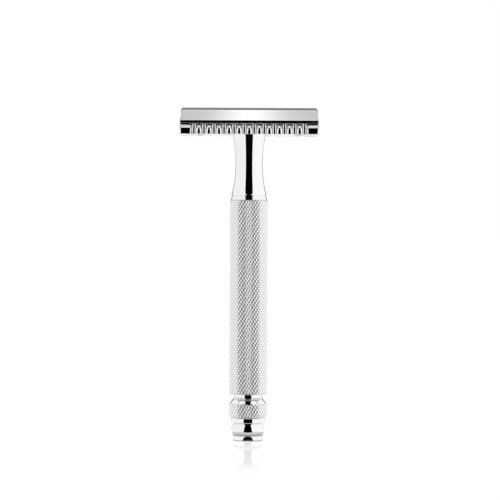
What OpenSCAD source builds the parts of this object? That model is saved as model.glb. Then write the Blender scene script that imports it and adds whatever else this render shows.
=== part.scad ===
// Safety razor with an open-comb head and a twist knob.
// Turning the knob drives a spindle through the handle and screws the cap up or down.
// Every dimension is in millimetres.  Z is up and the base of the knob is at Z = 0.

/* [Handle] */
// height where the knurled grip starts
grip_z = 14.5; // [14.3:0.1:14.8]
// length of the knurled grip
grip_h = 60.7; // [60.7:0.1:62.0]
// outside diameter of the grip and of the knurled band on the knob
grip_d = 11.8; // [11.4:0.1:12.6]
// outside diameter of the neck at its waist
waist_d = 8.4; // [8.2:0.1:9.0]
// radius of the hollow curve of the neck
neck_curve_r = 41; // [36:1:44]
// visible length of the neck
neck_h = 19; // [19:0.1:19.4]

/* [Head] */
// length of the comb plate
comb_l = 43; // [42.8:0.1:45]
// width of the comb plate over the tooth tips
comb_w = 24.8; // [24.4:0.1:26]
// number of slots along each edge of the comb
slot_count = 12; // [6:1:12]
// distance from slot to slot
slot_pitch = 3.1; // [3.0:0.02:3.2]
// width of one slot
slot_w = 1.36; // [1.0:0.02:1.6]
// length of the cap
cap_l = 42.4; // [41:0.1:43]
// width of the cap
cap_w = 20.4; // [19.6:0.1:20.5]
// height of the crown of the cap above the underside of the comb plate
head_h = 8.5; // [8.5:0.1:9.4]

/* [Blade] */
// length of the blade over its end tabs
blade_l = 42.8; // [42:0.1:43]
// width of the clamped blade across its edges
blade_w = 21.9; // [21.6:0.1:22]
// thickness of the blade
blade_t = 0.1; // [0.08:0.01:0.12]

/* [Thread and spindle] */
// outside diameter of the stud thread
stud_d = 5; // [4.8:0.1:5]
// diameter of the spindle
spindle_d = 4; // [3.8:0.1:4]
// depth of thread in the socket that the stud uses
thread_h = 6.6; // [6:0.1:7]

/* [Knob] */
// largest diameter of the rounded foot ring
foot_d = 10.3; // [10:0.1:11]
// diameter of the disc that closes the knob
disc_d = 9.7; // [9.4:0.1:10]
// thickness of that disc
disc_h = 1.4; // [1.2:0.1:1.5]

/* [Hidden] */
$fn = 72;
eps = 0.01;
run_gap = 0.05;
grip_top = grip_z + grip_h;
ring_h = 1.2;
neck_z = grip_top + ring_h;
neck_top = neck_z + neck_h;
waist_z = neck_top - 8.7;
tube_bore = 8.6;
neck_bore = 6.5;
spigot_d = 8;
spigot_h = 3;
crown_z = neck_top + head_h;
// the clamped blade follows a cylinder of this radius
seat_r = 25.5;
seat_z = neck_top + 5.7 - seat_r;
// clearance between the clamped blade and the cap or the comb
seat_gap = 0.15;
// arched top of the cap, and the solid left above the blind holes for stud and pins
cap_r = 14.3;
cap_skin = 1.2;
pin_d = 2.4;
pin_x = 15.5;
pin_top = crown_z - 1.4;
// extra diameter of a clearance hole for the pins and for the stud
pin_play = 0.4;
stud_play = 0.6;
stud_top = crown_z - cap_skin;
socket_d = 6.4;
socket_top = neck_top + 1.4;
socket_z = socket_top - 12.8;
socket_seat = 4.5;
stud_tip = socket_top - thread_h;
cross_z = socket_z + 2.2;
cross_d = 1.2;
insert_h = 9;
bush_z = grip_top - 6;
bush_top = socket_z - 0.1;
knob_top = grip_z - 1.2;
// the thrust washer lies in a recess in the lower bush
washer_d = 7;
washer_h = 0.4;
recess_z = knob_top + washer_h + 0.1;
collar_d = 8.75;
// screw up the middle of the knob, under the web that carries its washer
screw_z = 6.5;
screw_hole = 2.6;
screw_d = 2.5;
web_z = 7;
web_h = 1.6;
spindle_z = web_z + web_h;
bore_d = 7;
handle_col = [0.80, 0.81, 0.83];
brass_col = [0.78, 0.62, 0.33];
steel_col = [0.62, 0.63, 0.65];

// a profile drawn in Y and Z, carried along X and centred
module bar_x(l) {
    translate([-l / 2, 0, 0])
        rotate([90, 0, 90])
            linear_extrude(l)
                children();
}

// plain ring standing on z
module ring(d, bore, z, h) {
    translate([0, 0, z])
        difference() {
            cylinder(d = d, h = h);
            translate([0, 0, -1])
                cylinder(d = bore, h = h + 2);
        }
}

// outline of the cap seen from the end: crown arc above, blade arc below
module cap_section() {
    difference() {
        intersection() {
            translate([0, crown_z - cap_r])
                circle(r = cap_r);
            translate([-cap_w / 2, neck_top])
                square([cap_w, head_h + 1]);
        }
        translate([0, seat_z])
            circle(r = seat_r + seat_gap, $fn = 180);
    }
}

// front outline of the cap with rounded upper corners
module cap_front() {
    corner = 0.8;
    for (side = [-1, 1])
        translate([side * (cap_l / 2 - corner), crown_z - corner])
            circle(r = corner);
    translate([-cap_l / 2 + corner, neck_top])
        square([cap_l - 2 * corner, head_h]);
    translate([-cap_l / 2, neck_top])
        square([cap_l, head_h - corner]);
}

module top_cap() {
    color(handle_col)
        difference() {
            intersection() {
                bar_x(cap_l)
                    cap_section();
                translate([0, cap_w, 0])
                    rotate([90, 0, 0])
                        linear_extrude(2 * cap_w)
                            cap_front();
            }
            translate([0, 0, stud_tip])
                cylinder(d = stud_d, h = stud_top - stud_tip);
            for (side = [-1, 1])
                translate([side * pin_x, 0, neck_top])
                    cylinder(d = pin_d, h = pin_top - neck_top);
        }
}

module cap_stud() {
    chamfer = 0.5;
    color(handle_col) {
        translate([0, 0, stud_tip])
            cylinder(d1 = stud_d - 2 * chamfer, d2 = stud_d, h = chamfer);
        translate([0, 0, stud_tip + chamfer])
            cylinder(d = stud_d, h = stud_top - stud_tip - chamfer);
    }
}

module cap_locating_pins() {
    nose = 0.5;
    low = neck_top + 1.6;
    color(handle_col)
        for (side = [-1, 1])
            translate([side * pin_x, 0, low]) {
                cylinder(d1 = pin_d - 2 * nose, d2 = pin_d, h = nose);
                translate([0, 0, nose])
                    cylinder(d = pin_d, h = pin_top - low - nose);
            }
}

// plan outline of a double-edge blade: long edges, shorter end tabs and the slot
module blade_outline() {
    edge_l = 37.4;
    tab_w = 13;
    slot = [34, 1.5];
    key_x = 7.5;
    key_d = 3.2;
    notch_d = 3;
    difference() {
        union() {
            square([edge_l, blade_w + 2], center = true);
            square([blade_l, tab_w], center = true);
        }
        circle(d = stud_d + stud_play);
        square(slot, center = true);
        for (side = [-1, 1]) {
            translate([side * pin_x, 0])
                circle(d = pin_d + pin_play);
            translate([side * key_x, 0])
                circle(d = key_d);
            translate([side * blade_l / 2, 0])
                circle(d = notch_d);
        }
    }
}

module blade() {
    color(steel_col)
        intersection() {
            bar_x(blade_l + 1)
                intersection() {
                    translate([0, seat_z])
                        difference() {
                            circle(r = seat_r + blade_t / 2, $fn = 180);
                            circle(r = seat_r - blade_t / 2, $fn = 180);
                        }
                    translate([-blade_w / 2, neck_top])
                        square([blade_w, head_h]);
                }
            translate([0, 0, neck_top])
                linear_extrude(head_h)
                    blade_outline();
        }
}

// outline of the comb plate seen from the end, without the slots
module comb_section() {
    half = comb_w / 2;
    seat_half = 9.7;
    tip_h = 1.9;
    // one edge from the underside over the rounded tooth tip
    edge = [[half - 0.5, 0], [half - 0.15, 0.15], [half, 0.5], [half, tip_h], [half - 0.1, 2.1],
            [half - 0.35, 2.4], [half - 0.8, 2.7], [half - 1.6, 2.95], [half - 2.4, 3.08]];
    last = len(edge) - 1;
    translate([0, neck_top])
        polygon([for (p = edge) p, for (i = [0 : last]) [-edge[last - i][0], edge[last - i][1]]]);
    intersection() {
        translate([0, seat_z])
            circle(r = seat_r - seat_gap, $fn = 180);
        translate([-seat_half, neck_top + 1])
            square([2 * seat_half, head_h]);
    }
}

// plan outline of the comb: teeth with rounded noses and slots with round ends
module comb_plan() {
    half = comb_w / 2;
    nose_r = 1.6;
    slot_l = 3.1;
    tab_r = 0.6;
    root = half - slot_l;
    first = -(slot_count - 1) / 2 * slot_pitch;
    tooth_w = slot_pitch - slot_w;
    // inner side of an end tab, and its length along X
    tab_in = slot_w / 2 - first;
    tab_l = comb_l / 2 - tab_in;
    square([comb_l, 2 * root], center = true);
    for (side = [0, 1])
        mirror([0, side]) {
            difference() {
                translate([-comb_l / 2, 0])
                    square([comb_l, half - nose_r]);
                for (i = [0 : slot_count - 1])
                    translate([first + i * slot_pitch, root + slot_w / 2]) {
                        circle(d = slot_w);
                        translate([-slot_w / 2, 0])
                            square([slot_w, slot_l]);
                    }
            }
            for (i = [0 : slot_count - 2])
                intersection() {
                    translate([first + (i + 0.5) * slot_pitch, half - nose_r])
                        circle(r = nose_r);
                    translate([first + (i + 0.5) * slot_pitch - tooth_w / 2, root])
                        square([tooth_w, slot_l]);
                }
            for (end = [0, 1])
                mirror([end, 0]) {
                    translate([tab_in, root + slot_w])
                        square([tab_l, slot_l - slot_w - tab_r]);
                    translate([tab_in + tab_r, root + slot_w])
                        square([tab_l - 2 * tab_r, slot_l - slot_w]);
                    for (x = [tab_in + tab_r, comb_l / 2 - tab_r])
                        translate([x, half - tab_r])
                            circle(r = tab_r);
                }
        }
}

module comb_plate() {
    color(handle_col)
        difference() {
            intersection() {
                bar_x(comb_l)
                    comb_section();
                translate([0, 0, neck_top - 1])
                    linear_extrude(head_h + 2)
                        comb_plan();
            }
            translate([0, 0, neck_top - 1])
                cylinder(d = spigot_d, h = spigot_h + 1);
            translate([0, 0, neck_top])
                cylinder(d = stud_d + stud_play, h = head_h);
            for (side = [-1, 1])
                translate([side * pin_x, 0, neck_top - 1])
                    cylinder(d = pin_d + pin_play, h = head_h);
        }
}

module neck() {
    color(handle_col)
        difference() {
            union() {
                rotate_extrude()
                    difference() {
                        translate([0, neck_z])
                            square([grip_d / 2 - 0.35, neck_h]);
                        translate([waist_d / 2 + neck_curve_r, waist_z])
                            circle(r = neck_curve_r, $fn = 360);
                    }
                translate([0, 0, grip_top - insert_h])
                    cylinder(d = tube_bore, h = insert_h + ring_h + 1);
                translate([0, 0, neck_top - 1])
                    cylinder(d = spigot_d, h = spigot_h + 1);
            }
            translate([0, 0, grip_top - insert_h - 1])
                cylinder(d = neck_bore, h = neck_top + spigot_h);
        }
}

// bevelled ring with a short plain land above the bevel
module neck_ring() {
    bevel_h = 0.85;
    color(handle_col)
        translate([0, 0, grip_top])
            difference() {
                union() {
                    cylinder(d1 = grip_d - 0.3, d2 = grip_d - 1, h = bevel_h);
                    cylinder(d = grip_d - 1.2, h = ring_h);
                }
                translate([0, 0, -1])
                    cylinder(d = tube_bore, h = ring_h + 2);
            }
}

module grip_tube() {
    color(handle_col)
        ring(grip_d, tube_bore, grip_z, grip_h);
}

module upper_bush() {
    color(brass_col)
        ring(neck_bore, spindle_d + 2 * run_gap, bush_z, bush_top - bush_z);
}

module lower_bush() {
    low = knob_top + run_gap;
    color(handle_col)
        difference() {
            union() {
                translate([0, 0, low])
                    cylinder(d = collar_d, h = grip_z - low);
                translate([0, 0, grip_z - eps])
                    cylinder(d = tube_bore, h = insert_h + eps);
            }
            translate([0, 0, low - 1])
                cylinder(d = washer_d + 4 * run_gap, h = recess_z - low + 1);
            translate([0, 0, low])
                cylinder(d = spindle_d + 2 * run_gap, h = 2 * insert_h);
        }
}

// hole for the cross pin, along X
module cross_hole() {
    translate([-socket_d, 0, cross_z])
        rotate([0, 90, 0])
            cylinder(d = cross_d, h = 2 * socket_d, $fn = 24);
}

module spindle() {
    color(steel_col)
        difference() {
            translate([0, 0, spindle_z])
                cylinder(d = spindle_d, h = socket_z + socket_seat - spindle_z);
            translate([0, 0, spindle_z - 1])
                cylinder(d = screw_d, h = 7);
            cross_hole();
        }
}

module spindle_socket() {
    color(brass_col)
        difference() {
            translate([0, 0, socket_z])
                cylinder(d = socket_d, h = socket_top - socket_z);
            translate([0, 0, socket_z - 1])
                cylinder(d = spindle_d, h = socket_seat + 1);
            translate([0, 0, stud_tip - 0.7])
                cylinder(d = stud_d + 2 * run_gap, h = thread_h + 2);
            cross_hole();
        }
}

module socket_pin() {
    inset = 0.15;
    color(steel_col)
        translate([inset - socket_d / 2, 0, cross_z])
            rotate([0, 90, 0])
                cylinder(d = cross_d, h = socket_d - 2 * inset, $fn = 24);
}

module thrust_washer() {
    color([0.9, 0.89, 0.84])
        ring(washer_d, spindle_d, knob_top, washer_h);
}

// half outline of the knob: foot ring, groove, taper, knurled band and flare
module knob_profile() {
    band = grip_d / 2;
    foot_h = 3.7;
    foot_r = 3.4;
    foot_mid = disc_h + 1.95;
    // each point is how far it lies inside the band and its height
    taper = [[1.45, 5.25], [1.1, 5.38], [0.85, 5.62], [0.72, 5.95], [0.54, 6.85], [0.42, 7.05],
             [0.18, 7.38], [0, 7.5]];
    flare = [[0, 1.75], [0.18, 1.58], [0.88, 0.7], [1.28, 0.3], [1.4, 0.15], [1.45, 0]];
    difference() {
        union() {
            translate([0, disc_h])
                square([foot_d / 2 - 1.2, foot_h]);
            intersection() {
                translate([foot_d / 2 - foot_r, foot_mid])
                    circle(r = foot_r);
                translate([0, disc_h])
                    square([foot_d, foot_h]);
            }
            polygon([[0, 4.9], [band - 1.45, 4.9], for (p = taper) [band - p[0], p[1]],
                     for (p = flare) [band - p[0], knob_top - p[1]], [0, knob_top]]);
        }
        translate([-20, 0])
            square([20, 20]);
    }
}

module knob() {
    color(handle_col)
        difference() {
            rotate_extrude()
                knob_profile();
            translate([0, 0, disc_h - 1])
                cylinder(d = bore_d, h = web_z - disc_h + 1);
            translate([0, 0, web_z - 1])
                cylinder(d = screw_hole, h = web_h + 2);
            translate([0, 0, spindle_z])
                cylinder(d = spindle_d, h = knob_top);
        }
}

module knob_screw() {
    screw_head_d = 4.6;
    screw_head_h = 1.5;
    slot = 0.7;
    color(steel_col)
        difference() {
            union() {
                translate([0, 0, screw_z - screw_head_h])
                    cylinder(d = screw_head_d, h = screw_head_h);
                translate([0, 0, screw_z - eps])
                    cylinder(d = screw_d, h = 7.6);
            }
            translate([-screw_head_d / 2 - 1, -slot / 2, screw_z - screw_head_h - 1])
                cube([screw_head_d + 2, slot, slot + 1]);
        }
}

module screw_washer() {
    color(steel_col)
        ring(6, screw_hole, screw_z, web_z - screw_z);
}

module knob_end_cap() {
    edge = 0.4;
    color(handle_col)
        rotate_extrude() {
            square([bore_d / 2, disc_h + 2.2]);
            square([disc_d / 2 - edge, disc_h]);
            translate([0, edge])
                square([disc_d / 2, disc_h - edge]);
            translate([disc_d / 2 - edge, edge])
                circle(r = edge, $fn = 32);
        }
}

top_cap();
cap_stud();
cap_locating_pins();
blade();
comb_plate();
neck();
neck_ring();
grip_tube();
upper_bush();
lower_bush();
spindle();
spindle_socket();
socket_pin();
thrust_washer();
knob();
knob_screw();
screw_washer();
knob_end_cap();
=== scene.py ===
"""Open-comb safety razor with a twist knob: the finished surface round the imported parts."""

import math

import bmesh
import bpy
from bpy.props import FloatProperty, FloatVectorProperty, IntProperty, PointerProperty
from bpy.types import Operator, Panel, PropertyGroup
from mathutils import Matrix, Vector


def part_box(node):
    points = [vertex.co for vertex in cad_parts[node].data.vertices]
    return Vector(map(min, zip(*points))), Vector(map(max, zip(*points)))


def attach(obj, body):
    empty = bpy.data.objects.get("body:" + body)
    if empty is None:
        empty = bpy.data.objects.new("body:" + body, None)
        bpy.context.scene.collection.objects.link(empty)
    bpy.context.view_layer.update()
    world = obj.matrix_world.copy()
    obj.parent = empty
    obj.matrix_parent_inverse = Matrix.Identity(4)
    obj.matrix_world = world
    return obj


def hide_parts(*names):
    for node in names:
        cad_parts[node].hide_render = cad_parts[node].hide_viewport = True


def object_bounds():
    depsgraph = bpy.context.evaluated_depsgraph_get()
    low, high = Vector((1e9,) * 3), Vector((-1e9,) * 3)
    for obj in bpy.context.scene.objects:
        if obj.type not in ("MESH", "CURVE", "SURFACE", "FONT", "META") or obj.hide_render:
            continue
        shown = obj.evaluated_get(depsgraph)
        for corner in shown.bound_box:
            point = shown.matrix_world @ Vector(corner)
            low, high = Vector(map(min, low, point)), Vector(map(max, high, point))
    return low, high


bl_info = {
    "name": "Safety Razor",
    "version": (1, 0, 0),
    "blender": (4, 5, 0),
    "location": "View3D > Sidebar > Razor",
    "description": "Builds the finished pieces of an open-comb safety razor round its packed parts",
    "category": "Add Mesh",
}

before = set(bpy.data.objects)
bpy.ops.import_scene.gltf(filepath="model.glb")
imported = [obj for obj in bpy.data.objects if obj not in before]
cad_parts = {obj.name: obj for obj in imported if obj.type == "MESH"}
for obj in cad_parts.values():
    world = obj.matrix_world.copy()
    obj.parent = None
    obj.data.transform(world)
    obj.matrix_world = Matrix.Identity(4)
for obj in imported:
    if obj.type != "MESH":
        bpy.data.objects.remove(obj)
CAD_LOW, CAD_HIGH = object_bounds()

MM = 0.001
AXIS = 1e-7  # a radius below this is a point on the axis
ROUND = 128  # faces round a turned piece
SHARP = math.radians(32)  # an edge bent further than this stays crisp
WELD = 1e-7  # points of one piece nearer than this are the same
GROWN_WELD = 2e-6  # the same for what a tree makes
STUD_PITCH = 0.8 * MM
BLADE_THICK = 0.1 * MM
BLADE_SLOT_END = 17 * MM  # half the length of the blade's middle slot

CAP_LOW, CAP_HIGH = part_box("top_cap")
COMB_LOW, COMB_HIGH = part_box("comb_plate")
BLADE_LOW, BLADE_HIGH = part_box("blade")
NECK_LOW, NECK_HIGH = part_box("neck")
RING_LOW, RING_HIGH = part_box("neck_ring")
GRIP_LOW, GRIP_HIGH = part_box("grip_tube")
STUD_LOW, STUD_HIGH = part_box("cap_stud")
PINS_LOW, PINS_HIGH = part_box("cap_locating_pins")
UPPER_LOW, UPPER_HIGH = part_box("upper_bush")
LOWER_LOW, LOWER_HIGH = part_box("lower_bush")
SPINDLE_LOW, SPINDLE_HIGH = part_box("spindle")
SOCKET_LOW, SOCKET_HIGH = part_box("spindle_socket")
CROSS_LOW, CROSS_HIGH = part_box("socket_pin")
THRUST_LOW, THRUST_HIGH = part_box("thrust_washer")
KNOB_LOW, KNOB_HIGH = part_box("knob")
SCREW_LOW, SCREW_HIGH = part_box("knob_screw")
WASHER_LOW, WASHER_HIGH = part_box("screw_washer")
DISC_LOW, DISC_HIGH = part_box("knob_end_cap")


# ---------------------------------------------------------------- what a user may change


def length(name, description, default, smallest=0.0):
    """A distance in metres, shown in the scene's own units."""
    return FloatProperty(
        name=name, description=description, default=default, min=smallest,
        subtype="DISTANCE", unit="LENGTH", precision=5,
    )


def colour(name, description, default):
    """A colour swatch."""
    return FloatVectorProperty(
        name=name, description=description, default=default, min=0.0, max=1.0,
        size=3, subtype="COLOR",
    )


class RazorHeadSizes(PropertyGroup):
    """Sizes of the cap, the comb plate and the blade."""

    crown_radius: length("Crown radius", "Radius of the cap's arched top", 0.0143)
    seat_radius: length("Seat radius", "Radius to which the blade is bent", 0.0255)
    seat_crown: length("Seat crown", "Height of the blade's middle above the comb's underside", 0.0057)
    cap_corner: length("Cap corner", "Rounding of the cap's upper ends", 0.0006)
    slots: IntProperty(name="Slots", description="Slots along each edge", default=12, min=2)
    slot_pitch: length("Slot pitch", "Distance from slot to slot", 0.0031)
    slot_width: length("Slot width", "Width of one slot", 0.00136)
    slot_depth: length("Slot depth", "Depth of a slot behind the tooth tips", 0.0031)
    nose_radius: length("Nose radius", "Rounding of a tooth's tip seen from above", 0.0016)
    tooth_face: length("Tooth face", "Height at which a tooth's upright face starts to curve back", 0.00125)
    shelf: length("Shelf", "Height of the teeth behind their tips", 0.003)
    nose_curve: length("Nose curve", "Length over which a tooth's top curves down to its face", 0.0019)
    seat_half: length("Seat half width", "Half the width of the raised blade seat", 0.0097)
    pin_spacing: length("Pin spacing", "Distance between the two locating pins", 0.031)


class RazorHandleSizes(PropertyGroup):
    """Sizes of the neck and of the bores."""

    waist_radius: length("Waist radius", "Radius of the neck at its waist", 0.0042)
    waist_drop: length("Waist drop", "Distance of the waist below the comb plate", 0.0087)
    neck_curve: length("Neck curve", "Radius of the neck's hollow outline", 0.041)
    tube_bore: length("Tube bore", "Radius of the bore in the grip", 0.0043)
    neck_bore: length("Neck bore", "Radius of the bore in the neck", 0.00325)
    shaft_bore: length("Shaft bore", "Radius of the bores that the spindle turns in", 0.00205)


class RazorKnurlSizes(PropertyGroup):
    """The diamond knurl on the grip and on the knob."""

    right_starts: IntProperty(name="Right starts", description="Right-hand grooves", default=32, min=3)
    left_starts: IntProperty(name="Left starts", description="Left-hand grooves", default=30, min=3)
    right_rise: FloatProperty(
        name="Right rise", description="Right-hand grooves crossed per metre of height",
        default=758.0, min=1.0,
    )
    left_rise: FloatProperty(
        name="Left rise", description="Left-hand grooves crossed per metre of height",
        default=592.0, min=1.0,
    )
    depth: length("Depth", "Depth of the grooves", 0.00015)


class RazorFinishes(PropertyGroup):
    """Colours of the metals and of the washer."""

    chrome: colour("Chrome", "Polished chrome plate", (0.895, 0.90, 0.91))
    knurled: colour("Knurled chrome", "Chrome plate over the knurl", (0.97, 0.975, 0.98))
    brass: colour("Brass", "Turned brass", (0.78, 0.59, 0.27))
    steel: colour("Spindle steel", "Turned steel", (0.56, 0.57, 0.59))
    blade: colour("Blade steel", "Ground stainless strip", (0.62, 0.645, 0.68))
    nylon: colour("Washer", "Nylon washer", (0.86, 0.85, 0.80))
    floor: colour("Floor", "Pale floor", (0.93, 0.93, 0.93))


class RazorStage(PropertyGroup):
    """Where the camera stands."""

    distance: length("Distance", "Distance from the razor's axis", 0.70, 0.1)
    height: length("Height", "Height of the camera", 0.0751)
    aim_height: length("Aim height", "Height at which the camera looks", 0.0595)
    aim_side: FloatProperty(
        name="Aim side", description="Sideways place at which the camera looks",
        default=0.0004, subtype="DISTANCE", unit="LENGTH", precision=5,
    )
    lens: FloatProperty(name="Lens", description="Focal length", default=161.2, min=1.0, unit="CAMERA")
    roll: FloatProperty(
        name="Roll", description="Tilt of the camera about its own axis",
        default=math.radians(0.27), subtype="ANGLE", unit="ROTATION",
    )


def head():
    return bpy.context.scene.razor_head


def handle():
    return bpy.context.scene.razor_handle


def knurl():
    return bpy.context.scene.razor_knurl


def finishes():
    return bpy.context.scene.razor_finishes


# ---------------------------------------------------------------- outlines and turned meshes


def rounded(corners, steps=5, hold=0.04 * MM):
    """Turns corners (across, up, radius) into an outline with arcs.

    A short straight beside each arc keeps the shading of the long faces flat.
    """
    made = []
    count = len(corners)
    for i, (across, up, radius) in enumerate(corners):
        here = Vector((across, up))
        before = Vector(corners[i - 1][:2]) - here
        after = Vector(corners[(i + 1) % count][:2]) - here
        if radius <= 0:
            made.append(here)
            continue
        room = 0.45 * min(before.length, after.length)
        before.normalize()
        after.normalize()
        half = before.angle(after) / 2
        cut = min(radius / math.tan(half), room)
        centre = here + (before + after).normalized() * (cut / math.cos(half))
        start = here + before * cut - centre
        end = here + after * cut - centre
        first = math.atan2(start.y, start.x)
        sweep = math.atan2(end.y, end.x) - first
        sweep = (sweep + math.pi) % math.tau - math.pi
        made.append(here + before * (cut + min(hold, room / 10)))
        for k in range(steps + 1):
            angle = first + sweep * k / steps
            made.append(centre + Vector((math.cos(angle), math.sin(angle))) * start.length)
        made.append(here + after * (cut + min(hold, room / 10)))
    return [(max(p.x, 0.0), p.y) for p in made]


def mitred(corners, steps=4):
    """Rounds the inner corners of an open run of (x, y, radius)."""
    made = []
    for i, (x, y, radius) in enumerate(corners):
        if i == 0 or i == len(corners) - 1 or radius <= 0:
            made.append((x, y))
            continue
        here = Vector((x, y))
        before = Vector(corners[i - 1][:2]) - here
        after = Vector(corners[i + 1][:2]) - here
        room = min(radius, 0.45 * before.length, 0.45 * after.length)
        a = here + before.normalized() * room
        b = here + after.normalized() * room
        for k in range(steps + 1):
            t = k / steps
            p = a * (1 - t) ** 2 + here * 2 * t * (1 - t) + b * t * t
            made.append((p.x, p.y))
    return made


def skin(bm, low, high):
    """Faces between two loops of the same count, or between a loop and one point."""
    if len(low) == 1 and len(high) == 1:
        return
    count = max(len(low), len(high))
    for k in range(count):
        n = (k + 1) % count
        if len(low) == 1:
            bm.faces.new((low[0], high[n], high[k]))
        elif len(high) == 1:
            bm.faces.new((low[k], low[n], high[0]))
        else:
            bm.faces.new((low[k], low[n], high[n], high[k]))


def lathe(bm, outline, closed=True, segments=ROUND):
    """Turns an outline of (radius, height) about the Z axis and returns its rings."""
    rings = []
    for radius, height in outline:
        if radius < AXIS:
            rings.append([bm.verts.new((0, 0, height))])
            continue
        rings.append([
            bm.verts.new((
                radius * math.cos(math.tau * k / segments),
                radius * math.sin(math.tau * k / segments),
                height,
            ))
            for k in range(segments)
        ])
    follow = rings[1:] + rings[:1] if closed else rings[1:]
    for low, high in zip(rings, follow):
        skin(bm, low, high)
    return rings


def turn_of(vertex):
    """Angle of a point round the Z axis."""
    return math.atan2(vertex.co.y, vertex.co.x) % math.tau


def next_turn(ring, k):
    """Angle of the point after the k-th in a ring, counted on past a full turn at its end."""
    if k + 1 < len(ring):
        return turn_of(ring[k + 1])
    return math.tau + turn_of(ring[(k + 1) % len(ring)])


def zip_loops(bm, one, two):
    """Joins two rings of different counts round the Z axis with triangles."""
    one = sorted(one, key=turn_of)
    two = sorted(two, key=turn_of)
    i = j = 0
    while i < len(one) or j < len(two):
        a, b = one[i % len(one)], two[j % len(two)]
        if j >= len(two) or (i < len(one) and next_turn(one, i) <= next_turn(two, j)):
            i += 1
            bm.faces.new((a, one[i % len(one)], b))
        else:
            j += 1
            bm.faces.new((a, two[j % len(two)], b))


def direction(angle):
    """Unit vector at an angle in the plane."""
    return Vector((math.cos(angle), math.sin(angle)))


# ---------------------------------------------------------------- working meshes and finished pieces


def new_object(name, data):
    """Adds an object to the scene."""
    obj = bpy.data.objects.new(name, data)
    bpy.context.scene.collection.objects.link(obj)
    return obj


def mesh_of(name, bm):
    """A mesh of a bmesh, which is freed."""
    mesh = bpy.data.meshes.new(name)
    bm.to_mesh(mesh)
    bm.free()
    return mesh


def add_to(bm, other):
    """Adds a second bmesh to the first and frees it."""
    part = mesh_of("Part", other)
    bm.from_mesh(part)
    bpy.data.meshes.remove(part)


def result_of(holder, *tools):
    """Plain bmesh of what an object's modifiers or curve make; the object and its tools are removed."""
    graph = bpy.context.evaluated_depsgraph_get()
    made = bpy.data.meshes.new_from_object(holder.evaluated_get(graph), depsgraph=graph)
    holder.modifiers.clear()
    for spent in (holder, *tools):
        bpy.data.objects.remove(spent)
    bm = bmesh.new()
    bm.from_mesh(made)
    bpy.data.meshes.remove(made)
    return bm


def cut_away(bm, cutters):
    """Cuts the shapes of other bmeshes out of a solid and returns the cut mesh."""
    target = new_object("Solid", mesh_of("Solid", bm))
    tools = []
    for cutter in cutters:
        tool = new_object("Cutter", mesh_of("Cutter", cutter))
        cut = target.modifiers.new("Cut", "BOOLEAN")
        cut.operation = "DIFFERENCE"
        cut.solver = "EXACT"
        cut.object = tool
        tools.append(tool)
    return result_of(target, *tools)


def piece(name, bm, material, body, slot, *nodes, sharp=SHARP):
    """Makes a finished mesh object of bm, rides it on its body and stands it in for nodes."""
    bmesh.ops.remove_doubles(bm, verts=bm.verts, dist=WELD)
    bmesh.ops.dissolve_degenerate(bm, edges=bm.edges, dist=WELD / 10)
    bmesh.ops.recalc_face_normals(bm, faces=bm.faces)
    mesh = mesh_of(name, bm)
    mesh.materials.clear()
    mesh.materials.append(material)
    mesh.polygons.foreach_set("use_smooth", [True] * len(mesh.polygons))
    mesh.polygons.foreach_set("material_index", [0] * len(mesh.polygons))
    mesh.set_sharp_from_angle(angle=sharp)
    obj = new_object(name, mesh)
    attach(obj, body)
    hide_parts(*nodes)
    return obj


def turned(name, corners, material, body, slot, *nodes, steps=5):
    """A piece turned from one closed outline."""
    bm = bmesh.new()
    lathe(bm, rounded(corners, steps))
    return piece(name, bm, material, body, slot, *nodes)


# ---------------------------------------------------------------- node helpers


def put(tree, kind, wires=None, **settings):
    """Adds a node, with its settings, its values and the links into it."""
    node = tree.nodes.new(kind)
    for key, value in settings.items():
        setattr(node, key, value)
    for key, value in (wires or {}).items():
        if isinstance(value, bpy.types.NodeSocket):
            tree.links.new(value, node.inputs[key])
        else:
            node.inputs[key].default_value = value
    return node


def calc(tree, operation, *values, clamp=False):
    """One Math node."""
    node = put(tree, "ShaderNodeMath", dict(enumerate(values)), operation=operation, use_clamp=clamp)
    return node.outputs[0]


def axes(tree, vector):
    """A vector's X, Y and Z."""
    return put(tree, "ShaderNodeSeparateXYZ", {"Vector": vector}).outputs


def from_axis(tree, where):
    """Distance from the Z axis."""
    squares = calc(tree, "ADD", calc(tree, "MULTIPLY", where["X"], where["X"]),
                   calc(tree, "MULTIPLY", where["Y"], where["Y"]))
    return calc(tree, "SQRT", squares)


def wrapped_round(tree, radius, angle, height):
    """A place round the Z axis as a vector."""
    return put(tree, "ShaderNodeCombineXYZ", {
        "X": calc(tree, "MULTIPLY", radius, calc(tree, "COSINE", angle)),
        "Y": calc(tree, "MULTIPLY", radius, calc(tree, "SINE", angle)),
        "Z": height,
    }).outputs[0]


def climb(tree, value, start, rate):
    """0 up to a start, then rising at a rate to 1."""
    return calc(tree, "MULTIPLY", calc(tree, "SUBTRACT", value, start), rate, clamp=True)


def fall(tree, value, end, rate):
    """1 at first, then falling at a rate to 0 at an end."""
    return calc(tree, "MULTIPLY", calc(tree, "SUBTRACT", end, value), rate, clamp=True)


def dimmed(tree, value, mask):
    """A value brought down to 0 as a mask rises to 1."""
    return calc(tree, "MULTIPLY", value, calc(tree, "SUBTRACT", 1.0, mask))


def new_tree(name, inputs):
    """A geometry node tree with one mesh out and named inputs; returns the tree and its inputs."""
    tree = bpy.data.node_groups.new(name, "GeometryNodeTree")
    tree.interface.new_socket("Mesh", in_out="OUTPUT", socket_type="NodeSocketGeometry")
    for label, kind, default in inputs:
        socket = tree.interface.new_socket(label, in_out="INPUT", socket_type="NodeSocket" + kind)
        if default is not None:
            socket.default_value = default
    return tree, tree.nodes.new("NodeGroupInput").outputs


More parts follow.
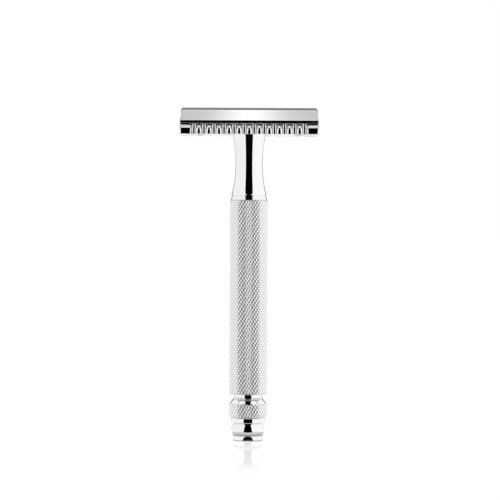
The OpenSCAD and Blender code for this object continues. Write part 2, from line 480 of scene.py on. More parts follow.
def end_tree(tree, geometry, material):
    """Ends a tree in Realize Instances and Set Material."""
    real = put(tree, "GeometryNodeRealizeInstances", {"Geometry": geometry})
    painted = put(tree, "GeometryNodeSetMaterial", {"Geometry": real.outputs[0], "Material": material})
    put(tree, "NodeGroupOutput", {0: painted.outputs[0]})


def grow(tree, values, seed_mesh=None):
    """Runs a tree once on a mesh, or on nothing, and returns a plain bmesh of the result."""
    holder = new_object("Tree holder", seed_mesh or bpy.data.meshes.new("Empty"))
    modifier = holder.modifiers.new("Build", "NODES")
    modifier.node_group = tree
    for item in tree.interface.items_tree:
        if item.in_out == "INPUT" and item.name in values:
            modifier[item.identifier] = values[item.name]
    return result_of(holder)


# ---------------------------------------------------------------- trees


KNURL_STEPS = (0.72, 0.46, 0.24, 0.08)  # how far each step up a diamond reaches from its middle


def knurl_tree():
    """Rounded diamonds on two crossing families of grooves, wrapped round the Z axis."""
    tree, given = new_tree("Diamond knurl", (
        ("Right Starts", "Int", 32), ("Left Starts", "Int", 30), ("Right Rise", "Float", 758.0),
        ("Left Rise", "Float", 592.0), ("Groove Radius", "Float", 0.0056), ("Depth", "Float", 0.0003),
        ("Bottom", "Float", 0.0), ("Rows", "Int", 10), ("Material", "Material", None),
    ))
    right, left = given["Right Starts"], given["Left Starts"]
    rise_r, rise_l = given["Right Rise"], given["Left Rise"]
    cells = calc(tree, "ADD", calc(tree, "MULTIPLY", right, rise_l), calc(tree, "MULTIPLY", left, rise_r))

    index = put(tree, "GeometryNodeInputIndex").outputs[0]
    along = calc(tree, "FLOORED_MODULO", index, right)
    step = calc(tree, "FLOOR", calc(tree, "DIVIDE", index, right))
    start = calc(tree, "MULTIPLY", given["Bottom"], cells)
    start = calc(tree, "SUBTRACT", start, calc(tree, "MULTIPLY", along, left))
    start = calc(tree, "FLOOR", calc(tree, "DIVIDE", start, right))
    across = calc(tree, "ADD", step, start)
    place = put(tree, "ShaderNodeCombineXYZ", {"X": along, "Y": across})
    count = calc(tree, "MULTIPLY", right, given["Rows"])
    points = put(tree, "GeometryNodePoints", {"Count": count, "Position": place.outputs[0]})

    cell = put(tree, "GeometryNodeMeshGrid", {
        "Size X": 1.0, "Size Y": 1.0, "Vertices X": 2, "Vertices Y": 2,
    })
    shape, top, wide = cell.outputs["Mesh"], True, 1.0
    for share in KNURL_STEPS:
        rise = calc(tree, "MULTIPLY", given["Depth"], wide * wide - share * share)
        raised = put(tree, "GeometryNodeExtrudeMesh", {
            "Mesh": shape, "Selection": top, "Offset Scale": rise,
        }, mode="FACES")
        top = raised.outputs["Top"]
        shape = put(tree, "GeometryNodeScaleElements", {
            "Geometry": raised.outputs["Mesh"], "Selection": top, "Scale": share / wide,
        }).outputs[0]
        wide = share
    placed = put(tree, "GeometryNodeInstanceOnPoints", {
        "Points": points.outputs[0], "Instance": shape,
    })
    real = put(tree, "GeometryNodeRealizeInstances", {"Geometry": placed.outputs[0]})

    where = axes(tree, put(tree, "GeometryNodeInputPosition").outputs[0])
    turn = calc(tree, "SUBTRACT", calc(tree, "MULTIPLY", where["X"], rise_l),
                calc(tree, "MULTIPLY", where["Y"], rise_r))
    turn = calc(tree, "MULTIPLY", calc(tree, "DIVIDE", turn, cells), math.tau)
    height = calc(tree, "ADD", calc(tree, "MULTIPLY", where["X"], left),
                  calc(tree, "MULTIPLY", where["Y"], right))
    height = calc(tree, "DIVIDE", height, cells)
    radius = calc(tree, "ADD", given["Groove Radius"], where["Z"])
    bent = put(tree, "GeometryNodeSetPosition", {
        "Geometry": real.outputs[0], "Position": wrapped_round(tree, radius, turn, height),
    })
    merged = put(tree, "GeometryNodeMergeByDistance", {"Geometry": bent.outputs[0], "Distance": GROWN_WELD})
    end_tree(tree, merged.outputs[0], given["Material"])
    return tree


THREAD_RINGS = 8  # rings of points in one turn of a thread
THREAD_ROUND = 64  # faces round a thread
THREAD_CREST = 0.14  # share of a turn that is flat at the thread's crest


def thread_tree():
    """A V thread wound round the Z axis, with pointed ends closed on the axis."""
    tree, given = new_tree("Thread", (
        ("Radius", "Float", 0.0025), ("Depth", "Float", 0.0004), ("Pitch", "Float", 0.0008),
        ("Bottom", "Float", 0.0), ("Top", "Float", 0.01), ("Turns", "Int", 18),
        ("Chamfer", "Float", 0.0005), ("Material", "Material", None),
    ))
    rings = calc(tree, "ADD", calc(tree, "MULTIPLY", given["Turns"], float(THREAD_RINGS)), 1.0)
    grid = put(tree, "GeometryNodeMeshGrid", {
        "Size X": given["Turns"], "Size Y": math.tau, "Vertices X": rings, "Vertices Y": THREAD_ROUND + 1,
    })
    where = axes(tree, put(tree, "GeometryNodeInputPosition").outputs[0])
    turns = calc(tree, "ADD", where["X"], calc(tree, "DIVIDE", given["Turns"], 2.0))
    angle = calc(tree, "ADD", where["Y"], math.pi)
    rise = calc(tree, "ADD", turns, calc(tree, "DIVIDE", angle, math.tau))
    height = calc(tree, "ADD", given["Bottom"], calc(tree, "MULTIPLY", rise, given["Pitch"]))
    height = calc(tree, "SUBTRACT", height, calc(tree, "MULTIPLY", given["Pitch"], 2.0))
    phase = calc(tree, "FRACT", calc(tree, "ADD", turns, 1e-4))
    wave = calc(tree, "ABSOLUTE", calc(tree, "SUBTRACT", calc(tree, "MULTIPLY", phase, 2.0), 1.0))
    wave = climb(tree, wave, THREAD_CREST, 1.45)
    radius = calc(tree, "SUBTRACT", given["Radius"], calc(tree, "MULTIPLY", wave, given["Depth"]))
    kept = calc(tree, "MINIMUM", calc(tree, "MAXIMUM", height, given["Bottom"]), given["Top"])
    narrow = calc(tree, "ADD", calc(tree, "SUBTRACT", given["Radius"], given["Chamfer"]),
                  calc(tree, "SUBTRACT", kept, given["Bottom"]))
    radius = calc(tree, "MINIMUM", radius, narrow)
    outside = calc(tree, "GREATER_THAN", calc(tree, "ABSOLUTE", calc(tree, "SUBTRACT", height, kept)),
                   calc(tree, "MULTIPLY", given["Pitch"], 1.02))
    radius = dimmed(tree, radius, outside)
    bent = put(tree, "GeometryNodeSetPosition", {
        "Geometry": grid.outputs["Mesh"], "Position": wrapped_round(tree, radius, angle, kept),
    })
    merged = put(tree, "GeometryNodeMergeByDistance", {"Geometry": bent.outputs[0], "Distance": 1e-6})
    end_tree(tree, merged.outputs[0], given["Material"])
    return tree


def comb_tree():
    """Repeats one tooth along both edges of the comb."""
    tree, given = new_tree("Comb teeth", (
        ("Tooth", "Geometry", None), ("Count", "Int", 11), ("Pitch", "Float", 0.003),
        ("Material", "Material", None),
    ))
    span = calc(tree, "MULTIPLY", calc(tree, "SUBTRACT", given["Count"], 1.0), given["Pitch"])
    first = put(tree, "ShaderNodeCombineXYZ", {"X": calc(tree, "MULTIPLY", span, -0.5)})
    step = put(tree, "ShaderNodeCombineXYZ", {"X": given["Pitch"]})
    line = put(tree, "GeometryNodeMeshLine", {
        "Count": given["Count"], "Start Location": first.outputs[0], "Offset": step.outputs[0],
    }, mode="OFFSET", count_mode="TOTAL")
    row = put(tree, "GeometryNodeInstanceOnPoints", {
        "Points": line.outputs[0], "Instance": given["Tooth"],
    })
    real = put(tree, "GeometryNodeRealizeInstances", {"Geometry": row.outputs[0]})
    far = put(tree, "GeometryNodeTransform", {"Geometry": real.outputs[0], "Rotation": (0, 0, math.pi)})
    both = put(tree, "GeometryNodeJoinGeometry")
    tree.links.new(real.outputs[0], both.inputs[0])
    tree.links.new(far.outputs[0], both.inputs[0])
    end_tree(tree, both.outputs[0], given["Material"])
    return tree


TREES = {}  # trees that more than one piece grows from


def shared_tree(name, maker):
    """Makes a tree once and keeps it."""
    if name not in TREES:
        TREES[name] = maker()
    return TREES[name]


# ---------------------------------------------------------------- materials


def new_group(name, inputs, outputs):
    """A shader node group with named values in and out."""
    tree = bpy.data.node_groups.new(name, "ShaderNodeTree")
    for label, default in inputs:
        socket = tree.interface.new_socket(label, in_out="INPUT", socket_type="NodeSocketFloat")
        socket.default_value = default
    for label in outputs:
        tree.interface.new_socket(label, in_out="OUTPUT", socket_type="NodeSocketFloat")
    return tree, tree.nodes.new("NodeGroupInput").outputs


def object_place(tree):
    """Object coordinates, in metres."""
    return put(tree, "ShaderNodeTexCoord").outputs["Object"]


def noise(tree, vector, scale, detail=3.0):
    """A noise with so many cells to the metre."""
    node = put(tree, "ShaderNodeTexNoise", {"Vector": vector, "Scale": scale, "Detail": detail})
    return node.outputs["Fac"]


def drawn_out(tree, place, scale, detail):
    """A noise with its own number of cells to the metre along each axis."""
    stretched = put(tree, "ShaderNodeMapping", {"Vector": place, "Scale": scale})
    return noise(tree, stretched.outputs[0], 1.0, detail)


def polish_group():
    """Faint haze and hairlines left by polishing: a roughness and a height."""
    tree, given = new_group("Polish marks", (("Base", 0.04), ("Haze", 0.05)), ("Roughness", "Height"))
    place = object_place(tree)
    cloud = noise(tree, place, 160.0)
    hair = drawn_out(tree, place, (900.0, 900.0, 9000.0), 2.0)
    mask = climb(tree, cloud, 0.42, 3.0)
    rough = calc(tree, "ADD", given["Base"], calc(tree, "MULTIPLY", mask, given["Haze"]))
    rough = calc(tree, "ADD", rough, calc(tree, "MULTIPLY", hair, 0.012))
    put(tree, "NodeGroupOutput", {0: rough, 1: hair})
    return tree


def turning_group():
    """Fine rings left by the lathe: a roughness and a height."""
    tree, given = new_group("Turning marks", (("Base", 0.2), ("Depth", 0.15)), ("Roughness", "Height"))
    rings = drawn_out(tree, object_place(tree), (60.0, 60.0, 16000.0), 4.0)
    rough = calc(tree, "ADD", given["Base"], calc(tree, "MULTIPLY", rings, given["Depth"]))
    put(tree, "NodeGroupOutput", {0: rough, 1: rings})
    return tree


def groove_group():
    """How deep a point lies below the peaks of a round piece, from 0 at a peak to 1; it leads the knurl's
    painted groove shade.
    """
    tree, given = new_group("Groove shade", (("Peak", 0.0059), ("Depth", 0.0003)), ("Mask",))
    radius = from_axis(tree, axes(tree, object_place(tree)))
    below = calc(tree, "SUBTRACT", given["Peak"], radius)
    put(tree, "NodeGroupOutput", {0: calc(tree, "DIVIDE", below, given["Depth"], clamp=True)})
    return tree


BUMP_DEPTH = 0.02 * MM  # height of the finest marks on every finish


def metal(name, tint, group, values, bump=0.02, metallic=1.0):
    """A metal whose roughness and bump come from a group; returns it, its tree and its shader."""
    material = bpy.data.materials.new(name)
    material.use_nodes = True
    tree = material.node_tree
    tree.nodes.clear()
    marks = put(tree, "ShaderNodeGroup", node_tree=group)
    for key, value in values.items():
        marks.inputs[key].default_value = value
    relief = put(tree, "ShaderNodeBump", {
        "Height": marks.outputs["Height"], "Strength": bump, "Distance": BUMP_DEPTH,
    })
    shader = put(tree, "ShaderNodeBsdfPrincipled", {
        "Base Color": (*tint, 1.0), "Metallic": metallic, "Roughness": marks.outputs["Roughness"],
        "Normal": relief.outputs[0],
    })
    put(tree, "ShaderNodeOutputMaterial", {"Surface": shader.outputs[0]})
    return material, tree, shader


def tone(tree, mask, light, dark):
    """A colour between light and dark, led by a mask."""
    ramp = put(tree, "ShaderNodeMix", {"Factor": mask}, data_type="RGBA")
    ramp.inputs["A"].default_value = (*light, 1.0)
    ramp.inputs["B"].default_value = (*dark, 1.0)
    return ramp.outputs["Result"]


def darker(tint, share):
    """A tint brought down to a share of its brightness."""
    return tuple(c * share for c in tint)


def chrome_material(groups):
    """Mirror chrome with a faint cloudy haze."""
    tint = finishes().chrome
    marks = {"Base": 0.025, "Haze": 0.035}
    material, tree, shader = metal("Polished chrome", tint, groups["polish"], marks)
    cloud = noise(tree, object_place(tree), 90.0)
    tree.links.new(tone(tree, cloud, tint, darker(tint, 0.965)), shader.inputs["Base Color"])
    return material


def knurl_material(groups):
    """Chrome that is a little duller down in the knurl's grooves, with painted shade darkening its colour
    there.
    """
    tint = finishes().knurled
    marks = {"Base": 0.06, "Haze": 0.04}
    material, tree, shader = metal("Knurled chrome", tint, groups["polish"], marks, metallic=0.8)
    groove = put(tree, "ShaderNodeGroup", node_tree=groups["groove"])
    groove.inputs["Peak"].default_value = GRIP_HIGH.x
    groove.inputs["Depth"].default_value = knurl().depth
    # painted shade: the colour darkens with depth down in the grooves
    mask = calc(tree, "POWER", groove.outputs[0], 1.6)
    tree.links.new(tone(tree, mask, tint, darker(tint, 0.6)), shader.inputs["Base Color"])
    polished = shader.inputs["Roughness"].links[0].from_socket
    dull = calc(tree, "ADD", polished, calc(tree, "MULTIPLY", mask, 0.08))
    tree.links.new(dull, shader.inputs["Roughness"])
    return material


HONED_TINT = (0.82, 0.83, 0.85, 1.0)


def blade_material(groups):
    """Ground strip with lengthwise grain and bright honed edges."""
    tint = finishes().blade
    marks = {"Base": 0.16, "Haze": 0.1}
    material, tree, shader = metal("Blade steel", tint, groups["polish"], marks)
    place = object_place(tree)
    grain = drawn_out(tree, place, (120.0, 9000.0, 900.0), 4.0)
    across = calc(tree, "ABSOLUTE", axes(tree, place)["Y"])
    honed = calc(tree, "GREATER_THAN", across, BLADE_HIGH.y - 0.62 * MM)
    mix = put(tree, "ShaderNodeMix", {"Factor": honed}, data_type="RGBA")
    tree.links.new(tone(tree, grain, tint, darker(tint, 0.82)), mix.inputs["A"])
    mix.inputs["B"].default_value = HONED_TINT
    tree.links.new(mix.outputs["Result"], shader.inputs["Base Color"])
    dull = calc(tree, "ADD", calc(tree, "MULTIPLY", grain, 0.22), 0.12)
    dull = dimmed(tree, dull, calc(tree, "MULTIPLY", honed, 0.5))
    tree.links.new(dull, shader.inputs["Roughness"])
    relief = put(tree, "ShaderNodeBump", {"Height": grain, "Strength": 0.12, "Distance": BUMP_DEPTH})
    tree.links.new(relief.outputs[0], shader.inputs["Normal"])
    return material


def turned_material(name, tint, groups, base, depth):
    """Turned metal with fine rings and a slight unevenness of colour."""
    marks = {"Base": base, "Depth": depth}
    material, tree, shader = metal(name, tint, groups["turning"], marks, bump=0.15)
    cloud = noise(tree, object_place(tree), 420.0)
    tree.links.new(tone(tree, cloud, tint, darker(tint, 0.84)), shader.inputs["Base Color"])
    return material


def nylon_material(groups):
    """Milky washer with a fine moulded grain."""
    tint = finishes().nylon
    marks = {"Base": 0.42, "Depth": 0.12}
    material, tree, shader = metal("Washer nylon", tint, groups["turning"], marks, bump=0.2, metallic=0.0)
    cloud = noise(tree, object_place(tree), 700.0)
    tree.links.new(tone(tree, cloud, tint, darker(tint, 0.93)), shader.inputs["Base Color"])
    return material


MADE = {}  # every finish, by the name of its slot


def make_materials():
    """Builds every finish once."""
    if MADE:
        return
    groups = {"polish": polish_group(), "turning": turning_group(), "groove": groove_group()}
    MADE["chrome"] = chrome_material(groups)
    MADE["knurled_chrome"] = knurl_material(groups)
    MADE["blade_steel"] = blade_material(groups)
    MADE["spindle_steel"] = turned_material("Turned steel", finishes().steel, groups, 0.22, 0.16)
    MADE["brass"] = turned_material("Turned brass", finishes().brass, groups, 0.2, 0.14)
    MADE["washer_nylon"] = nylon_material(groups)


# ---------------------------------------------------------------- the head


def seat_height(across, lift=0.0):
    """Height of the blade's bent middle surface at a distance from the centre line."""
    h = head()
    radius = h.seat_radius + lift
    centre = COMB_LOW.z + h.seat_crown - h.seat_radius
    return centre + math.sqrt(radius * radius - across * across)


def cap_ring(inset):
    """One cross-section of the cap as (across, up) points; inset lowers its crown."""
    h = head()
    half = CAP_HIGH.y
    radius = h.crown_radius
    centre = CAP_HIGH.z - radius
    gap = 0.15 * MM  # between the blade's middle surface and the cap's underside
    bead = 0.03 * MM  # rounding of the cap's long edges
    arc = 44  # faces across the arch
    span = math.asin((half - bead) / radius)
    outside = []
    for k in range(arc + 1):
        angle = span * (1 - 2 * k / arc)
        outside.append((radius * math.sin(angle), centre + radius * math.cos(angle)))
    rim = outside[0][1]
    low = seat_height(half, gap)
    wall = [(half, rim - bead), (half, low + bead), (half - bead, low + 0.01 * MM)]
    inner = half - 3 * bead
    inside = []
    for k in range(arc + 1):
        across = inner * (1 - 2 * k / arc)
        inside.append((across, seat_height(across, gap)))
    right = [*wall, *inside]
    left = [(-x, z) for x, z in reversed(wall)]
    drop = inset / (CAP_HIGH.z - low)
    ring = right + left + outside[::-1]
    return [(y, z - drop * max(0.0, z - low)) for y, z in ring]


def build_cap():
    """Arched cap: one section carried along the blade, with rounded ends."""
    bm = bmesh.new()
    end = CAP_HIGH.x
    corner = head().cap_corner
    steps = 7
    ends = []
    for k in range(1, steps + 1):
        angle = math.pi / 2 * k / steps
        ends.append((end - corner * (1 - math.sin(angle)), corner * (1 - math.cos(angle))))
    inner = end - corner
    middle = [(inner * (k / 6 - 1), 0.0) for k in range(13)]
    stations = [(-x, inset) for x, inset in reversed(ends)] + middle + ends
    loops = [[bm.verts.new((x, y, z)) for y, z in cap_ring(inset)] for x, inset in stations]
    for one, two in zip(loops, loops[1:]):
        skin(bm, one, two)
    for loop in (loops[0], loops[-1]):
        bm.faces.new(loop)
    bmesh.ops.triangulate(bm, faces=[f for f in bm.faces if len(f.verts) > 4])
    return piece("top_cap_shell", bm, MADE["chrome"], "cap", "chrome", "top_cap")


def build_stud():
    """Threaded stud."""
    height = STUD_HIGH.z - STUD_LOW.z
    bm = grow(shared_tree("thread", thread_tree), {
        "Radius": STUD_HIGH.x, "Depth": 0.44 * MM, "Pitch": STUD_PITCH, "Bottom": STUD_LOW.z,
        "Top": STUD_HIGH.z, "Turns": int(height / STUD_PITCH) + 5, "Chamfer": 0.55 * MM,
        "Material": MADE["chrome"],
    })
    return piece("threaded_stud", bm, MADE["chrome"], "cap", "chrome", "cap_stud", sharp=math.radians(50))


def build_pins():
    """Two locating pins with domed noses."""
    bm = bmesh.new()
    radius = (PINS_HIGH.y - PINS_LOW.y) / 2
    low, high = PINS_LOW.z, PINS_HIGH.z
    outline = rounded([
        (0, low, 0), (radius - 0.5 * MM, low, 0.25 * MM), (radius, low + 0.6 * MM, 0.4 * MM),
        (radius, high, 0), (0, high, 0),
    ])
    for side in (-1, 1):
        before = len(bm.verts)
        lathe(bm, outline, closed=False, segments=48)
        bm.verts.ensure_lookup_table()
        shift = Vector((side * head().pin_spacing / 2, 0, 0))
        bmesh.ops.translate(bm, verts=bm.verts[before:], vec=shift)
    return piece("locating_pins", bm, MADE["chrome"], "cap", "chrome", "cap_locating_pins")


def blade_slot_half(x):
    """Half the width of the blade's middle slot at a place along it."""
    width = 0.75 * MM if abs(x) <= BLADE_SLOT_END else 0.0
    holes = ((0.0, 2.8), (7.5, 1.6), (-7.5, 1.6), (15.5, 1.4), (-15.5, 1.4))
    for centre, radius in holes:
        gap = (radius * MM) ** 2 - (x - centre * MM) ** 2
        if gap > 0:
            width = max(width, math.sqrt(gap))
    return width


def blade_edge_outline():
    """Outer outline of the blade in plan, anticlockwise from the lower right."""
    edge = 18.7 * MM
    tab_x, tab_y = BLADE_HIGH.x, 6.5 * MM
    half = BLADE_HIGH.y
    notch = 1.5 * MM
    right = mitred([
        (edge, -half, 0.5 * MM), (edge, -tab_y, 0.4 * MM), (tab_x, -tab_y, 0.9 * MM),
        (tab_x, -notch, 0.15 * MM),
    ])
    upper = [(x, -y) for x, y in reversed(right)]
    for k in range(1, 12):
        angle = -math.pi / 2 - math.pi * k / 12
        right.append((tab_x + notch * math.cos(angle), notch * math.sin(angle)))
    right += upper
    return right + [(-x, -y) for x, y in right]


def build_blade():
    """Thin bent strip with its slot, holes, notched tabs and honed edges."""
    plan = bpy.data.curves.new("Blade plan", "CURVE")
    plan.dimensions = "2D"
    plan.fill_mode = "BOTH"
    steps = 240
    along = [-BLADE_SLOT_END + 2 * BLADE_SLOT_END * k / steps for k in range(steps + 1)]
    upper = [(x, blade_slot_half(x)) for x in along]
    hole = upper + [(x, -y) for x, y in reversed(upper)]
    for outline in (blade_edge_outline(), hole):
        spline = plan.splines.new("POLY")
        spline.points.add(len(outline) - 1)
        for point, (x, y) in zip(spline.points, outline):
            point.co = (x, y, 0, 1)
        spline.use_cyclic_u = True
    bm = result_of(new_object("Blade plan", plan))
    bmesh.ops.remove_doubles(bm, verts=bm.verts, dist=1e-6)
    half = BLADE_HIGH.y
    honed = 0.65 * MM
    cuts = [k * 0.7 * MM for k in range(-14, 15)]
    cuts += [half - honed, honed - half, half - honed / 2, honed / 2 - half]
    for y in sorted(cuts):
        geometry = bm.verts[:] + bm.edges[:] + bm.faces[:]
        bmesh.ops.bisect_plane(bm, geom=geometry, plane_co=(0, y, 0), plane_no=(0, 1, 0), dist=1e-7)
    lifted = bmesh.ops.extrude_face_region(bm, geom=bm.faces[:])
    top = {v for v in lifted["geom"] if isinstance(v, bmesh.types.BMVert)}
    for v in bm.verts:
        across = v.co.y
        share = min(1.0, (half - abs(across)) / honed) * 0.96 + 0.04
        side = 0.5 if v in top else -0.5
        v.co.z = seat_height(across) + side * BLADE_THICK * share
    return piece("blade_strip", bm, MADE["blade_steel"], "razor_blade", "blade_steel", "blade",
                 sharp=math.radians(20))


def tooth_top(across):
    """Height of the comb's upper surface above its underside, from the centre line outwards."""
    h = head()
    tip = COMB_HIGH.y
    seat = h.seat_half
    shelf = h.shelf
    curve = h.nose_curve
    gap = 0.15 * MM  # between the blade's middle surface and its seat
    seat_up = seat_height(min(across, seat), -gap) - COMB_LOW.z
    if across <= seat:
        return seat_up
    start = tip - curve
    step = 0.2 * MM  # width over which the seat drops to the shelf
    if across < seat + step:
        t = (across - seat) / step
        t = t * t * (3 - 2 * t)
        return seat_up * (1 - t) + shelf * t
    if across <= start:
        return shelf
    u = min((across - start) / curve, 1.0)
    return h.tooth_face + (shelf - h.tooth_face) * (1 - u ** 1.5)


def slot_end(half):
    """Right half of a slot's round end, deepest point first: (point, normal towards the open slot).

    A shallow arc across the end runs into a tighter one at the corner.
    """
    wide = half * 1.25
    turn = math.pi / 4  # where the shallow arc ends
    tight = (half - wide * math.sin(turn)) / (1 - math.sin(turn))
    steps = 10
    made = []
    for k in range(steps + 1):
        angle = math.pi / 2 * k / steps
        if angle <= turn + 1e-6:
            spot = Vector((wide * math.sin(angle), wide * (1 - math.cos(angle))))
        else:
            spot = Vector(((wide - tight) * math.sin(turn) + tight * math.sin(angle),
                           wide - (wide - tight) * math.cos(turn) - tight * math.cos(angle)))
        made.append((spot, Vector((-math.sin(angle), math.cos(angle)))))
    return made


def top_over(spot, domed):
    """Height of the upper surface over a point, with the noses of the teeth curved sideways too."""
    across = max(spot.y, 0.0)
    start = COMB_HIGH.y - head().nose_curve
    if domed and across > start:
        across = start + math.hypot(spot.x, across - start)
    return COMB_LOW.z + tooth_top(across)


def half_tooth():
    """Plan outline from the middle of a slot to the middle of a tooth: (point, outward normal)."""
    h = head()
    tip = COMB_HIGH.y
    slot = h.slot_width / 2
    pitch = h.slot_pitch
    root = tip - h.slot_depth
    flank = pitch / 2 - slot
    nose = h.nose_radius
    ease = 0.32 * MM  # rounding between a tooth's flank and its nose
    made = []
    for spot, out in slot_end(slot):
        made.append((Vector((pitch / 2 - spot.x, root + spot.y)), Vector((-out.x, out.y))))
    side_low = made[-1][0].y
    nose_centre = Vector((0, tip - nose))
    inner = nose - ease
    corner = Vector((flank - ease, 0))
    corner.y = nose_centre.y + math.sqrt(inner * inner - corner.x * corner.x)
    for k in (1, 2):
        made.append((Vector((flank, side_low + (corner.y - side_low) * k / 3)), Vector((1, 0))))
    joint = math.atan2(corner.y - nose_centre.y, corner.x)
    for k in range(6):
        out = direction(joint * k / 5)
        made.append((corner + out * ease, out))
    for k in range(1, 5):
        out = direction(joint + (math.pi / 2 - joint) * k / 4)
        made.append((nose_centre + out * nose, out))
    return made


# mm from the centre line at which a tab's end has a point
TAB_STOPS = (11.0, 10.6, 10.2, 9.9, 9.8, 9.7, 9.0, 7.5, 6.0, 4.5, 3.0, 1.5, 0.0)


def end_tab():
    """Plan outline of an end tab, from the middle of the last slot round to the centre line."""
    h = head()
    tip, end = COMB_HIGH.y, COMB_HIGH.x
    slot = h.slot_width / 2
    first = (h.slots - 1) / 2 * h.slot_pitch
    root = tip - h.slot_depth
    ease = 0.6 * MM  # rounding of the tab's corners
    made = [(Vector((first + spot.x, root + spot.y)), out) for spot, out in slot_end(slot)]
    side_low = made[-1][0].y
    flank = first + slot
    top = tip - ease
    for k in (1, 2):
        made.append((Vector((flank, side_low + (top - side_low) * k / 3)), Vector((-1, 0))))
    for k in range(7):
        out = direction(math.pi - math.pi / 2 * k / 6)
        made.append((Vector((flank + ease, top)) + out * ease, out))
    for k in (1, 2, 3):
        made.append((Vector((flank + ease + (end - flank - 2 * ease) * k / 4, tip)), Vector((0, 1))))
    for k in range(7):
        out = direction(math.pi / 2 - math.pi / 2 * k / 6)
        made.append((Vector((end - ease, top)) + out * ease, out))
    for y in TAB_STOPS:
        made.append((Vector((end, y * MM)), Vector((1, 0))))
    return made


# mm from the centre line, closest together where the height changes
COMB_STOPS = (9.2, 9.5, 9.7, 9.75, 9.8, 9.85, 9.9, 10.25, 10.6, 11.0, 11.3, 11.5, 11.7, 11.85)


def share_of(level, rim, otherwise):
    """How far a level is on the way from the centre line to a rim, or a given share at the line."""
    return min(level / rim.y, 1.0) if rim.y > 1e-6 else otherwise


def comb_strip(bm, outline, back, domed=False):
    """Closed surface from the centre line, over the top and round the outline to the underside."""
    edge = 0.42 * MM  # rounding of the upper edge
    under = 0.12 * MM  # rounding of the lower edge
    straight = 0.05 * MM  # flat beside the lower rounding, which keeps its shading clean
    base = COMB_LOW.z
    levels = [k * 1.2 * MM for k in range(8)]
    levels += [y * MM for y in COMB_STOPS]
    columns = []
    for (point, out), start in zip(outline, back):
        rim = point - out * edge
        foot = Vector((start, 0.0))
        column = []
        for level in levels:
            spot = foot.lerp(rim, share_of(level, rim, 1.0))
            column.append((spot.x, spot.y, top_over(spot, domed)))
        for k in range(1, 6):
            angle = math.pi / 2 * k / 5
            spot = rim + out * edge * math.sin(angle)
            drop = edge * (1 - math.cos(angle))
            column.append((spot.x, spot.y, top_over(spot, domed) - drop))
        column.append((point.x, point.y, base + under + straight))
        for k in range(5):
            angle = math.pi / 2 * k / 4
            spot = point - out * under * (1 - math.cos(angle))
            column.append((spot.x, spot.y, base + under * (1 - math.sin(angle))))
        rim = point - out * (under + straight)
        for level in (9.2, 4.6, 0.0):
            spot = foot.lerp(rim, share_of(level * MM, rim, 0.0))
            column.append((spot.x, spot.y, base))
        columns.append([bm.verts.new(c) for c in column])
    for one, two in zip(columns, columns[1:]):
        for k in range(len(one) - 1):
            bm.faces.new((one[k], one[k + 1], two[k + 1], two[k]))


def build_comb():
    """Comb plate: one tooth repeated along both edges, four end tabs and the bored middle."""
    h = head()
    pitch = h.slot_pitch
    half = half_tooth()
    count = len(half)
    back = [pitch / 2 * (1 - k / (count - 1)) for k in range(count)]
    tooth = bmesh.new()
    comb_strip(tooth, half, back, domed=True)
    flipped = [(Vector((-p.x, p.y)), Vector((-n.x, n.y))) for p, n in half]
    comb_strip(tooth, flipped, [-b for b in back], domed=True)
    bmesh.ops.remove_doubles(tooth, verts=tooth.verts, dist=WELD)
    given = {"Count": h.slots - 1, "Pitch": pitch, "Material": MADE["chrome"]}
    bm = grow(comb_tree(), given, mesh_of("Tooth", tooth))

    tab = end_tab()
    first = (h.slots - 1) / 2 * pitch
    span = COMB_HIGH.x - first
    last = len(tab) - 1
    back = [first + span * k / last for k in range(last + 1)]
    for sx in (-1, 1):
        for sy in (-1, 1):
            side = bmesh.new()
            comb_strip(side, tab, back)
            for v in side.verts:
                v.co.x *= sx
                v.co.y *= sy
            add_to(bm, side)
    bmesh.ops.remove_doubles(bm, verts=bm.verts, dist=GROWN_WELD)
    bmesh.ops.dissolve_degenerate(bm, edges=bm.edges, dist=1e-7)
    bmesh.ops.recalc_face_normals(bm, faces=bm.faces)
    bored = cut_away(bm, [drill(*hole) for hole in comb_holes()])
    return piece("comb_plate_body", bored, MADE["chrome"], "handle", "chrome", "comb_plate",
                 sharp=math.radians(38))


def comb_holes():
    """Holes in the comb plate: (x, radius, bottom, top)."""
    low, high = COMB_LOW.z - MM, COMB_HIGH.z + MM
    side = head().pin_spacing / 2
    return [
        (0, 2.8 * MM, low, high), (side, 1.4 * MM, low, high), (-side, 1.4 * MM, low, high),
        (0, 4.0 * MM, low, COMB_LOW.z + 3 * MM),
    ]


def drill(x, radius, low, high):
    """Upright cylinder that cuts one hole."""
    bm = bmesh.new()
    lathe(bm, [(0, low), (radius, low), (radius, high), (0, high)], closed=False, segments=64)
    bmesh.ops.translate(bm, verts=bm.verts, vec=(x, 0, 0))
    bmesh.ops.recalc_face_normals(bm, faces=bm.faces)
    return bm


# ---------------------------------------------------------------- the handle


